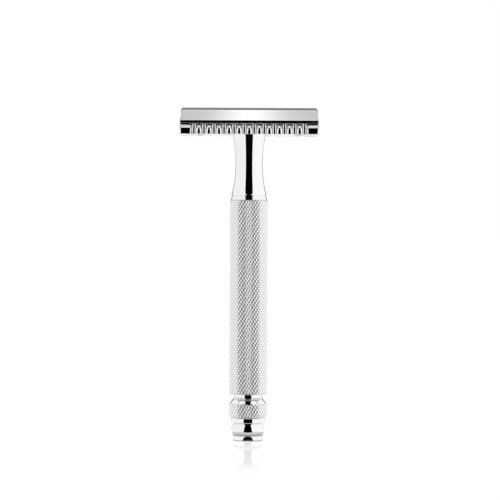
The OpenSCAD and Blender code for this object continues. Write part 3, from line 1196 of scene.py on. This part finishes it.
def build_neck():
    """Hollow-waisted neck with its spigots and its bore."""
    s = handle()
    top = COMB_LOW.z
    low = RING_HIGH.z
    waist = top - s.waist_drop
    curve = []
    steps = 56
    for k in range(steps + 1):
        z = low + (top - low) * k / steps
        radius = s.waist_radius + s.neck_curve - math.sqrt(s.neck_curve ** 2 - (z - waist) ** 2)
        curve.append((min(radius, GRIP_HIGH.x - 0.35 * MM), z))
    foot = curve[0][0]
    lower = rounded([
        (s.neck_bore, NECK_LOW.z, 0.1 * MM), (s.tube_bore, NECK_LOW.z, 0.3 * MM),
        (s.tube_bore, low, 0.02 * MM), (foot - 0.34 * MM, low, 0.03 * MM),
        (foot, low + 0.42 * MM, 0.06 * MM), (foot - 0.05 * MM, low + 0.7 * MM, 0),
    ])[:-1]
    spigot = 4.0 * MM
    end = NECK_HIGH.z
    upper = rounded([
        (curve[-1][0], top, 0), (spigot, top, 0.02 * MM), (spigot, end, 0.15 * MM),
        (s.neck_bore, end, 0.1 * MM), (s.neck_bore, NECK_LOW.z + MM, 0),
    ])[1:-1]
    body = [p for p in curve if p[1] > low + 0.55 * MM]
    bm = bmesh.new()
    lathe(bm, lower + body + upper)
    return piece("neck_body", bm, MADE["chrome"], "handle", "chrome", "neck")


def build_ring():
    """Bevelled ring between the neck and the grip."""
    s = handle()
    low, high = RING_LOW.z, RING_HIGH.z
    wide = RING_HIGH.x
    narrow = wide - 0.47 * MM
    return turned("neck_ring_body", [
        (s.tube_bore, low, 0), (wide, low, 0.02 * MM), (wide - 0.34 * MM, high - 0.37 * MM, 0.06 * MM),
        (narrow, high - 0.33 * MM, 0.04 * MM), (narrow, high, 0), (s.tube_bore, high, 0),
    ], MADE["chrome"], "handle", "chrome", "neck_ring")


def knurled_skin(low, high, bevel=0.32 * MM):
    """Knurl between two heights, bevelled into a round rim at each end.

    Returns the knurl, its lower and upper rims, and their radius.
    """
    k = knurl()
    peak = GRIP_HIGH.x
    cells = k.right_starts * k.left_rise + k.left_starts * k.right_rise
    spare = 2 * MM  # made past each end, then cut off
    rows = int((high - low + 2 * spare) * cells / k.right_starts) + 3
    bm = grow(shared_tree("knurl", knurl_tree), {
        "Right Starts": k.right_starts, "Left Starts": k.left_starts, "Right Rise": k.right_rise,
        "Left Rise": k.left_rise, "Groove Radius": peak - k.depth, "Depth": k.depth,
        "Bottom": low - spare, "Rows": rows, "Material": MADE["knurled_chrome"],
    })
    for z, way in ((low, 1), (low + bevel, 0), (high - bevel, 0), (high, -1)):
        geometry = bm.verts[:] + bm.edges[:] + bm.faces[:]
        bmesh.ops.bisect_plane(
            bm, geom=geometry, plane_co=(0, 0, z), plane_no=(0, 0, 1), dist=1e-7,
            clear_inner=way == 1, clear_outer=way == -1,
        )
    rim = peak - k.depth - 0.02 * MM
    for v in bm.verts:
        allowed = rim + max(0.0, min(v.co.z - low, high - v.co.z)) * (peak - rim) / bevel
        radius = math.hypot(v.co.x, v.co.y)
        if radius > allowed:
            v.co.x *= allowed / radius
            v.co.y *= allowed / radius
    bmesh.ops.remove_doubles(bm, verts=bm.verts, dist=GROWN_WELD)
    rims = []
    for z in (low, high):
        rims.append([v for v in bm.verts if abs(v.co.z - z) < 1e-6 and v.is_boundary])
    return bm, rims, rim


def build_grip():
    """Knurled tube."""
    low, high = GRIP_LOW.z, GRIP_HIGH.z
    lip = 0.12 * MM
    bore = handle().tube_bore
    bm, (bottom, top), rim = knurled_skin(low + lip, high - lip)
    outline = rounded([
        (rim - 0.03 * MM, high - lip, 0), (rim - 0.1 * MM, high, 0.04 * MM), (bore, high, 0.1 * MM),
        (bore, low, 0.1 * MM), (rim - 0.1 * MM, low, 0.04 * MM), (rim - 0.03 * MM, low + lip, 0),
    ])
    rings = lathe(bm, outline, closed=False)
    zip_loops(bm, top, rings[0])
    zip_loops(bm, bottom, rings[-1])
    return piece("grip_sleeve", bm, MADE["knurled_chrome"], "handle", "knurled_chrome", "grip_tube",
                 sharp=math.radians(24))


BAND_RISE = 6.06 * MM  # height of the knob's knurled band above its foot
BAND_DROP = 1.76 * MM  # distance of the band's upper end below the knob's top
KNOB_RECESS = 3.5 * MM  # radius of the knob's hollow for the screw


def knob_lower(rim):
    """Outline of the knob from its bore, round the foot and the taper, up to the knurled band."""
    disc = KNOB_LOW.z
    band = GRIP_HIGH.x
    centre = disc + 1.85 * MM
    bulge = 3.4 * MM  # radius of the foot ring's rounded side
    foot = 5.15 * MM - bulge
    turn = 0.6  # half the angle that the rounded side covers
    meet = foot + bulge * math.cos(turn + 0.01)
    made = [(KNOB_RECESS, disc), (meet - 0.1 * MM, disc)]
    for k in range(17):
        angle = turn * (k / 8 - 1)
        made.append((foot + bulge * math.cos(angle), centre + bulge * math.sin(angle)))
    return made + mitred([
        (meet - 0.05 * MM, disc + 3.8 * MM, 0),
        (band - 1.4 * MM, disc + 3.84 * MM, 0.03 * MM), (band - 1.3 * MM, disc + 3.9 * MM, 0.03 * MM),
        (band - 0.76 * MM, disc + 4.16 * MM, 0.22 * MM), (band - 0.6 * MM, disc + 5.62 * MM, 0.08 * MM),
        (band - 0.22 * MM, disc + 5.98 * MM, 0.06 * MM), (rim - 0.03 * MM, disc + BAND_RISE, 0),
    ], steps=6)


def knob_upper(rim):
    """Outline of the knob from the knurled band over the flare, down the bores and back."""
    top = KNOB_HIGH.z
    band = GRIP_HIGH.x
    web = WASHER_HIGH.z
    seat = SPINDLE_LOW.z
    hole = 1.3 * MM
    bore = 2.0 * MM
    flare = mitred([
        (rim - 0.03 * MM, top - BAND_DROP, 0), (band - 0.18 * MM, top - 1.6 * MM, 0.05 * MM),
        (band - 0.88 * MM, top - 0.7 * MM, 0.06 * MM), (band - 1.3 * MM, top - 0.26 * MM, 0.1 * MM),
        (band - 1.42 * MM, top, 0.05 * MM), (band - 1.6 * MM, top, 0),
    ], steps=6)
    return flare + [
        (bore, top), (bore, seat), (hole, seat), (hole, web), (KNOB_RECESS, web),
        (KNOB_RECESS, KNOB_LOW.z + 0.05 * MM),
    ]


def build_knob():
    """Twist knob: foot ring, taper, knurled band and flare, bored for its screw and spindle."""
    low, high = KNOB_LOW.z + BAND_RISE, KNOB_HIGH.z - BAND_DROP
    bm, (bottom, top), rim = knurled_skin(low, high, bevel=0.24 * MM)
    under = lathe(bm, knob_lower(rim), closed=False)
    over = lathe(bm, knob_upper(rim), closed=False)
    zip_loops(bm, bottom, under[-1])
    zip_loops(bm, top, over[0])
    skin(bm, over[-1], under[0])
    obj = piece("knob_body", bm, MADE["chrome"], "twist_knob", "chrome", "knob", sharp=math.radians(24))
    obj.data.materials.append(MADE["knurled_chrome"])
    slack = 0.01 * MM
    for face in obj.data.polygons:
        middle = face.center
        in_band = low - slack < middle.z < high + slack
        if in_band and math.hypot(middle.x, middle.y) > rim - 0.1 * MM:
            face.material_index = 1
    return obj


def build_end_disc():
    """Disc that closes the knob, with its spigot and a shallow turned recess underneath."""
    wide = DISC_HIGH.x
    low = DISC_LOW.z
    high = KNOB_LOW.z - 0.02 * MM
    recess = low + 0.12 * MM
    spigot = KNOB_RECESS - 0.02 * MM
    return turned("knob_base_disc", [
        (0, recess, 0), (2.6 * MM, recess, 0.1 * MM), (3.0 * MM, low, 0.1 * MM),
        (wide, low, 0.2 * MM), (wide, high, 0.16 * MM), (spigot, high, 0.03 * MM),
        (spigot, DISC_HIGH.z, 0.25 * MM), (0, DISC_HIGH.z, 0),
    ], MADE["chrome"], "twist_knob", "chrome", "knob_end_cap")


def build_lower_bush():
    """Bush in the grip's lower end: its smooth end fills the groove and hides the washer."""
    s = handle()
    low, high = LOWER_LOW.z, LOWER_HIGH.z
    wide = LOWER_HIGH.x
    grip = GRIP_LOW.z - 0.02 * MM
    spigot = s.tube_bore - 0.01 * MM
    recess = THRUST_HIGH.x + 0.1 * MM
    seat = THRUST_HIGH.z + 0.1 * MM
    return turned("lower_bush_body", [
        (recess, low, 0.05 * MM), (wide, low, 0.08 * MM), (wide, grip, 0.02 * MM), (spigot, grip, 0),
        (spigot, high, 0.3 * MM), (s.shaft_bore, high, 0.1 * MM), (s.shaft_bore, seat, 0.1 * MM),
        (recess, seat, 0.03 * MM),
    ], MADE["chrome"], "handle", "chrome", "lower_bush")


def build_upper_bush():
    """Brass bush in the neck, with an oil groove round it."""
    s = handle()
    low, high = UPPER_LOW.z, UPPER_HIGH.z
    wide = s.neck_bore - 0.01 * MM
    groove = wide - 0.25 * MM
    middle = (low + high) / 2
    return turned("upper_bush_body", [
        (s.shaft_bore, low, 0.12 * MM), (wide, low, 0.3 * MM), (wide, middle - 0.8 * MM, 0.05 * MM),
        (groove, middle - 0.5 * MM, 0.1 * MM), (groove, middle + 0.5 * MM, 0.1 * MM),
        (wide, middle + 0.8 * MM, 0.05 * MM), (wide, high, 0.2 * MM), (s.shaft_bore, high, 0.12 * MM),
    ], MADE["brass"], "handle", "brass", "upper_bush")


SCREW_SHANK = 1.25 * MM  # radius of the knob's screw and of the hole that it turns into


def build_spindle():
    """Steel rod from the knob to the socket."""
    radius = SPINDLE_HIGH.x
    low, high = SPINDLE_LOW.z, SPINDLE_HIGH.z
    waist = radius - 0.12 * MM
    hole = SCREW_SHANK
    return turned("spindle_rod", [
        (hole, low, 0.05 * MM), (radius, low, 0.3 * MM), (radius, LOWER_LOW.z - 0.3 * MM, 0),
        (radius, LOWER_HIGH.z + MM, 0), (waist, LOWER_HIGH.z + 2 * MM, 0.5 * MM),
        (waist, UPPER_LOW.z - 3 * MM, 0.5 * MM), (radius, UPPER_LOW.z - 2 * MM, 0),
        (radius, high, 0.35 * MM), (0, high, 0), (0, low + 6 * MM, 0), (hole, low + 5.6 * MM, 0),
    ], MADE["spindle_steel"], "twist_knob", "spindle_steel", "spindle")


def build_socket():
    """Brass socket that takes the stud, with a chamfered mouth and thread grooves in its bore."""
    low, high = SOCKET_LOW.z, SOCKET_HIGH.z
    wide = SOCKET_HIGH.x
    rod = SPINDLE_HIGH.x
    hole = 2.55 * MM
    floor = STUD_LOW.z - 0.7 * MM
    mouth = high - 0.4 * MM
    corners = [
        (rod, low, 0.1 * MM), (wide, low, 0.25 * MM), (wide, high, 0.25 * MM), (hole + 0.3 * MM, high, 0),
    ]
    turns = int((mouth - floor) / STUD_PITCH)
    for k in range(turns):
        z = mouth - STUD_PITCH * k
        corners += [(hole, z, 0), (hole + 0.2 * MM, z - STUD_PITCH / 2, 0)]
    corners += [
        (hole, floor, 0), (0, floor - 0.5 * MM, 0), (0, SPINDLE_HIGH.z, 0), (rod, SPINDLE_HIGH.z, 0),
    ]
    return turned("socket_body", corners, MADE["brass"], "twist_knob", "brass", "spindle_socket", steps=4)


def build_cross_pin():
    """Cross pin through the socket and the spindle."""
    bm = bmesh.new()
    radius = (CROSS_HIGH.z - CROSS_LOW.z) / 2 - 0.01 * MM
    half = CROSS_HIGH.x
    ease = 0.2 * MM
    outline = rounded([(0, -half, 0), (radius, -half, ease), (radius, half, ease), (0, half, 0)])
    lathe(bm, outline, closed=False, segments=32)
    middle = (CROSS_LOW.z + CROSS_HIGH.z) / 2
    for v in bm.verts:
        v.co = Vector((v.co.z, v.co.y, middle - v.co.x))
    return piece("cross_pin", bm, MADE["spindle_steel"], "twist_knob", "spindle_steel", "socket_pin")


def build_thrust_washer():
    """Nylon washer under the lower bush."""
    low, high = THRUST_LOW.z, THRUST_HIGH.z
    wide = THRUST_HIGH.x
    hole = SPINDLE_HIGH.x + 0.02 * MM
    return turned("thrust_washer_body", [
        (wide, low, 0.1 * MM), (wide, high, 0.1 * MM), (hole, high, 0.06 * MM), (hole, low, 0.06 * MM),
    ], MADE["washer_nylon"], "twist_knob", "washer_nylon", "thrust_washer")


def build_screw():
    """Slotted screw that holds the knob on the spindle, with a threaded shank."""
    under = WASHER_LOW.z
    pitch = 0.45 * MM
    bm = grow(shared_tree("thread", thread_tree), {
        "Radius": SCREW_SHANK, "Depth": 0.24 * MM, "Pitch": pitch, "Bottom": -SCREW_HIGH.z,
        "Top": -under + 0.1 * MM, "Turns": int((SCREW_HIGH.z - under) / pitch) + 5,
        "Chamfer": 0.3 * MM, "Material": MADE["spindle_steel"],
    })
    for v in bm.verts:
        v.co.z = -v.co.z
        v.co.x = -v.co.x
    wide = SCREW_HIGH.x
    low = SCREW_LOW.z
    top = bmesh.new()
    lathe(top, rounded([
        (0, low, 0), (wide, low, 0.35 * MM), (wide, under, 0.1 * MM), (0, under, 0),
    ]), closed=False, segments=64)
    bmesh.ops.remove_doubles(top, verts=top.verts, dist=WELD)
    bmesh.ops.recalc_face_normals(top, faces=top.faces)
    add_to(bm, cut_away(top, [slot_cutter(wide, low)]))
    return piece("knob_retaining_screw", bm, MADE["spindle_steel"], "twist_knob", "spindle_steel",
                 "knob_screw", sharp=math.radians(45))


def slot_cutter(reach, low):
    """Block that cuts the straight screwdriver slot in the underside of the screw's head."""
    half, deep = 0.35 * MM, 0.7 * MM
    bm = bmesh.new()
    bmesh.ops.create_cube(bm, size=1.0)
    for v in bm.verts:
        v.co = Vector((v.co.x * 3 * reach, v.co.y * 2 * half, low - MM + (v.co.z + 0.5) * (MM + deep)))
    return bm


def build_screw_washer():
    """Steel washer under the screw's head."""
    hole = 1.3 * MM
    return turned("screw_washer_body", [
        (WASHER_HIGH.x, WASHER_LOW.z, 0.12 * MM), (WASHER_HIGH.x, WASHER_HIGH.z, 0.05 * MM),
        (hole, WASHER_HIGH.z, 0.05 * MM), (hole, WASHER_LOW.z, 0.1 * MM),
    ], MADE["spindle_steel"], "twist_knob", "spindle_steel", "screw_washer")


# ---------------------------------------------------------------- the stage


def stage_card(name, corners, shader_of):
    """A flat card between four corners, with its own shader."""
    bm = bmesh.new()
    bm.faces.new([bm.verts.new(corner) for corner in corners])
    mesh = mesh_of(name, bm)
    material = bpy.data.materials.new(name)
    material.use_nodes = True
    tree = material.node_tree
    tree.nodes.clear()
    put(tree, "ShaderNodeOutputMaterial", {"Surface": shader_of(tree)})
    mesh.materials.append(material)
    obj = new_object(name, mesh)
    return obj


WHITE = (1, 1, 1, 1)
DARK_ANGLE = math.radians(28.2)  # half the width of the dark sector behind the camera
DARK_REACH = 0.4726  # the same half width as a sine
GREY_ANGLE = math.radians(180 - 34)  # from straight ahead to the grey sector behind the razor
# painted shadow on the floor round the foot, seen only in polished metal
FOOT_PAINTED_SHADOW = ((0.017, 200.0, 0.36), (0.0078, 700.0, 0.5))  # (reach, rate, share) round the foot


def glow(tree, strength):
    """White light of a strength."""
    return put(tree, "ShaderNodeEmission", {"Color": WHITE, "Strength": strength}).outputs[0]


def side_light(tree, side):
    """Brightness of the surroundings, a little more to the right than to the left."""
    return calc(tree, "ADD", 1.03, calc(tree, "MULTIPLY", side, 0.05))


def floor_in_metal(tree):
    """The floor as polished metal reflects it.

    It is dark in a sector in front of the razor, grey in one behind it, and dimmer round the foot, where a
    shadow is painted.
    Where it is seen at a low angle, the dark sector runs on up to the foot.
    """
    where = axes(tree, object_place(tree))
    front = calc(tree, "MULTIPLY", where["Y"], -1.0)
    angle = calc(tree, "ARCTAN2", calc(tree, "ABSOLUTE", where["X"]), front)
    sector = fall(tree, angle, DARK_ANGLE, 60.0)
    ahead = climb(tree, front, 0.011, 400.0)
    facing = put(tree, "ShaderNodeLayerWeight", {"Blend": 0.5}).outputs["Facing"]
    skimmed = climb(tree, facing, 0.82, 15.0)
    dark = calc(tree, "MULTIPLY", sector, calc(tree, "MAXIMUM", ahead, skimmed))
    behind = climb(tree, angle, GREY_ANGLE, 8.0)
    behind = calc(tree, "MULTIPLY", behind, climb(tree, where["Y"], 0.02, 60.0))
    grey = calc(tree, "MULTIPLY", behind, 0.62)
    far = from_axis(tree, where)
    light = side_light(tree, calc(tree, "DIVIDE", where["X"], calc(tree, "ADD", far, 0.02)))
    light = dimmed(tree, light, dark)
    light = dimmed(tree, light, grey)
    steep = calc(tree, "SUBTRACT", 1.0, skimmed)
    # painted shadow on the floor close round the foot, faded where the floor is seen at a low angle
    for reach, rate, share in FOOT_PAINTED_SHADOW:
        close = calc(tree, "MULTIPLY", fall(tree, far, reach, rate), steep)
        light = dimmed(tree, light, calc(tree, "MULTIPLY", close, share))
    return glow(tree, light)


def floor_in_view(tree):
    """The floor as the camera sees it: pale and even, with a faint mirror near the razor."""
    dull = put(tree, "ShaderNodeBsdfDiffuse", {"Color": (*darker(finishes().floor, 0.2), 1.0)})
    pale = put(tree, "ShaderNodeAddShader", {0: dull.outputs[0], 1: glow(tree, 0.88)})
    gloss = put(tree, "ShaderNodeBsdfGlossy", {"Color": WHITE, "Roughness": 0.05})
    skim = put(tree, "ShaderNodeFresnel", {"IOR": 1.5}).outputs[0]
    where = axes(tree, object_place(tree))
    near = fall(tree, calc(tree, "MULTIPLY", where["Y"], -1.0), 0.1, 25.0)
    near = calc(tree, "MULTIPLY", near, fall(tree, where["Y"], 0.05, 40.0))
    share = calc(tree, "MULTIPLY", calc(tree, "MULTIPLY", skim, near), 0.42)
    mixed = put(tree, "ShaderNodeMixShader", {0: share, 1: pale.outputs[0], 2: gloss.outputs[0]})
    return mixed.outputs[0]


def floor_shader(tree):
    """One look of the floor for the camera and another for polished metal."""
    seen = put(tree, "ShaderNodeLightPath").outputs
    both = put(tree, "ShaderNodeMixShader", {
        0: seen["Is Glossy Ray"], 1: floor_in_view(tree), 2: floor_in_metal(tree),
    })
    return both.outputs[0]


def overhead_shader(tree):
    """Diffused lamp above the head: brightest in the middle and along its front and back."""
    where = axes(tree, object_place(tree))
    off = calc(tree, "DIVIDE", where["X"], 0.0125)
    bell = calc(tree, "EXPONENT", calc(tree, "MULTIPLY", calc(tree, "MULTIPLY", off, off), -1.0))
    level = calc(tree, "ADD", 0.64, calc(tree, "MULTIPLY", bell, 0.5))
    front = calc(tree, "LESS_THAN", where["Y"], 0.016)
    back = calc(tree, "GREATER_THAN", where["Y"], 0.165)
    strips = calc(tree, "MULTIPLY", calc(tree, "ADD", front, back), 0.07)
    return glow(tree, calc(tree, "MULTIPLY", level, calc(tree, "ADD", strips, 1.0)))


def wall_shader(tree):
    """Grey wall behind the razor, darker upwards, with a narrow lit gap."""
    where = axes(tree, object_place(tree))
    level = calc(tree, "SUBTRACT", 0.37, calc(tree, "MULTIPLY", where["Z"], 0.35))
    off = calc(tree, "ABSOLUTE", calc(tree, "SUBTRACT", where["Z"], 0.081))
    gap = calc(tree, "LESS_THAN", off, 0.0022)
    return glow(tree, calc(tree, "MAXIMUM", level, calc(tree, "MULTIPLY", gap, 1.05)))


def build_world():
    """White surroundings with a dark sector behind the camera, which spreads high up and ends overhead."""
    world = bpy.data.worlds.new("Studio")
    bpy.context.scene.world = world
    world.use_nodes = True
    tree = world.node_tree
    tree.nodes.clear()
    where = axes(tree, put(tree, "ShaderNodeTexCoord").outputs["Generated"])
    level = calc(tree, "SUBTRACT", 1.0, calc(tree, "MULTIPLY", where["Z"], where["Z"]))
    level = calc(tree, "SQRT", level)
    reach = calc(tree, "MULTIPLY", level, DARK_REACH)
    high = climb(tree, where["Z"], 0.9, 40.0)
    reach = calc(tree, "MAXIMUM", reach, calc(tree, "MULTIPLY", high, 0.29))
    dark = fall(tree, calc(tree, "ABSOLUTE", where["X"]), reach, 70.0)
    dark = calc(tree, "MULTIPLY", dark, calc(tree, "MULTIPLY", where["Y"], -60.0, clamp=True))
    dark = calc(tree, "MULTIPLY", dark, fall(tree, where["Z"], 0.985, 100.0))
    light = dimmed(tree, side_light(tree, where["X"]), dark)
    camera_sees = put(tree, "ShaderNodeLightPath").outputs["Is Camera Ray"]
    shown = put(tree, "ShaderNodeMix", {"Factor": camera_sees, "A": light, "B": 1.0}, data_type="FLOAT")
    backing = put(tree, "ShaderNodeBackground", {"Color": WHITE, "Strength": shown.outputs["Result"]})
    put(tree, "ShaderNodeOutputWorld", {"Surface": backing.outputs[0]})


def build_camera():
    """Camera level with the middle of the handle, a long lens away."""
    s = bpy.context.scene.razor_stage
    data = bpy.data.cameras.new("Camera")
    data.lens = s.lens
    data.sensor_width = 36.0
    data.clip_start, data.clip_end = 0.01, 20.0
    camera = new_object("Camera", data)
    spot = Vector((s.aim_side, -s.distance, s.height))
    aim = Vector((s.aim_side, 0, s.aim_height))
    camera.location = spot
    look = (aim - spot).to_track_quat("-Z", "Y")
    camera.rotation_euler = look.to_euler()
    camera.rotation_euler.rotate_axis("Z", s.roll)
    bpy.context.scene.camera = camera


FLOOR_HALF = 3.0  # half the width of the floor
LAMP_HALF, LAMP_FRONT, LAMP_BACK, LAMP_UP = 0.25, -0.03, 0.235, 0.3
WALL_HALF, WALL_LOW, WALL_TOP, WALL_BACK = 0.34, 0.0765, 0.5, 0.5


def level_corners(half, front, back, up):
    """Corners of a level rectangle that faces up."""
    return (-half, front, up), (half, front, up), (half, back, up), (-half, back, up)


def build_stage():
    """Floor, overhead lamp, surroundings and camera."""
    around = level_corners(FLOOR_HALF, -FLOOR_HALF, FLOOR_HALF, CAD_LOW.z)
    stage_card("Floor", around, floor_shader)
    over = level_corners(LAMP_HALF, LAMP_FRONT, LAMP_BACK, LAMP_UP)
    lamp = stage_card("Overhead lamp", over, overhead_shader)
    wall = stage_card("Back wall", (
        (-WALL_HALF, WALL_BACK, WALL_LOW), (WALL_HALF, WALL_BACK, WALL_LOW),
        (WALL_HALF, WALL_BACK, WALL_TOP), (-WALL_HALF, WALL_BACK, WALL_TOP),
    ), wall_shader)
    for card in (lamp, wall):
        card.visible_camera = False
        card.visible_shadow = False
        card.visible_diffuse = False
    build_world()
    build_camera()
    scene = bpy.context.scene
    scene.view_settings.view_transform = "Standard"
    scene.view_settings.look = "None"


# ---------------------------------------------------------------- operators


class RAZOR_OT_materials(Operator):
    """Build the finishes that all pieces share"""

    bl_idname = "razor.materials"
    bl_label = "Finishes"

    def execute(self, context):
        make_materials()
        return {"FINISHED"}


class RAZOR_OT_cap(Operator):
    """Build the cap, its threaded stud and its locating pins"""

    bl_idname = "razor.cap"
    bl_label = "Cap, Stud and Pins"

    def execute(self, context):
        build_cap()
        build_stud()
        build_pins()
        return {"FINISHED"}


class RAZOR_OT_blade(Operator):
    """Build the double-edge blade"""

    bl_idname = "razor.blade"
    bl_label = "Blade"

    def execute(self, context):
        build_blade()
        return {"FINISHED"}


class RAZOR_OT_comb(Operator):
    """Build the comb plate with its teeth"""

    bl_idname = "razor.comb"
    bl_label = "Comb Plate"

    def execute(self, context):
        build_comb()
        return {"FINISHED"}


class RAZOR_OT_neck(Operator):
    """Build the neck and the ring below it"""

    bl_idname = "razor.neck"
    bl_label = "Neck and Ring"

    def execute(self, context):
        build_neck()
        build_ring()
        return {"FINISHED"}


class RAZOR_OT_grip(Operator):
    """Build the knurled grip"""

    bl_idname = "razor.grip"
    bl_label = "Grip"

    def execute(self, context):
        build_grip()
        return {"FINISHED"}


class RAZOR_OT_bushes(Operator):
    """Build the two bushes that guide the spindle"""

    bl_idname = "razor.bushes"
    bl_label = "Bushes"

    def execute(self, context):
        build_lower_bush()
        build_upper_bush()
        return {"FINISHED"}


class RAZOR_OT_knob(Operator):
    """Build the twist knob and the disc that closes it"""

    bl_idname = "razor.knob"
    bl_label = "Knob"

    def execute(self, context):
        build_knob()
        build_end_disc()
        return {"FINISHED"}


class RAZOR_OT_spindle(Operator):
    """Build the spindle, its socket, cross pin, washers and screw"""

    bl_idname = "razor.spindle"
    bl_label = "Spindle Set"

    def execute(self, context):
        build_spindle()
        build_socket()
        build_cross_pin()
        build_thrust_washer()
        build_screw()
        build_screw_washer()
        return {"FINISHED"}


class RAZOR_OT_stage(Operator):
    """Build the floor, the light and the camera"""

    bl_idname = "razor.stage"
    bl_label = "Stage"

    def execute(self, context):
        build_stage()
        return {"FINISHED"}


class RAZOR_PT_panel(Panel):
    """Lists the razor's pieces and sizes"""

    bl_idname = "RAZOR_PT_panel"
    bl_label = "Safety Razor"
    bl_space_type = "VIEW_3D"
    bl_region_type = "UI"
    bl_category = "Razor"

    def draw(self, context):
        layout = self.layout
        for step in STEPS:
            layout.operator(step.bl_idname)
        scene = context.scene
        groups = (scene.razor_head, scene.razor_handle, scene.razor_knurl, scene.razor_finishes,
                  scene.razor_stage)
        for group in groups:
            box = layout.box()
            box.label(text=group.bl_rna.name)
            for name in group.__annotations__:
                box.prop(group, name)


GROUPS = {
    "razor_head": RazorHeadSizes, "razor_handle": RazorHandleSizes, "razor_knurl": RazorKnurlSizes,
    "razor_finishes": RazorFinishes, "razor_stage": RazorStage,
}
STEPS = (
    RAZOR_OT_materials, RAZOR_OT_cap, RAZOR_OT_blade, RAZOR_OT_comb, RAZOR_OT_neck, RAZOR_OT_grip,
    RAZOR_OT_bushes, RAZOR_OT_knob, RAZOR_OT_spindle, RAZOR_OT_stage,
)


def register():
    for cls in (*GROUPS.values(), *STEPS, RAZOR_PT_panel):
        bpy.utils.register_class(cls)
    for name, group in GROUPS.items():
        setattr(bpy.types.Scene, name, PointerProperty(type=group))


def unregister():
    for name in GROUPS:
        delattr(bpy.types.Scene, name)
    for cls in (RAZOR_PT_panel, *STEPS, *GROUPS.values()):
        bpy.utils.unregister_class(cls)


def main():
    register()
    bpy.ops.razor.materials()
    bpy.ops.razor.cap()
    bpy.ops.razor.blade()
    bpy.ops.razor.comb()
    bpy.ops.razor.neck()
    bpy.ops.razor.grip()
    bpy.ops.razor.bushes()
    bpy.ops.razor.knob()
    bpy.ops.razor.spindle()
    bpy.ops.razor.stage()


if __name__ == "__main__":
    main()
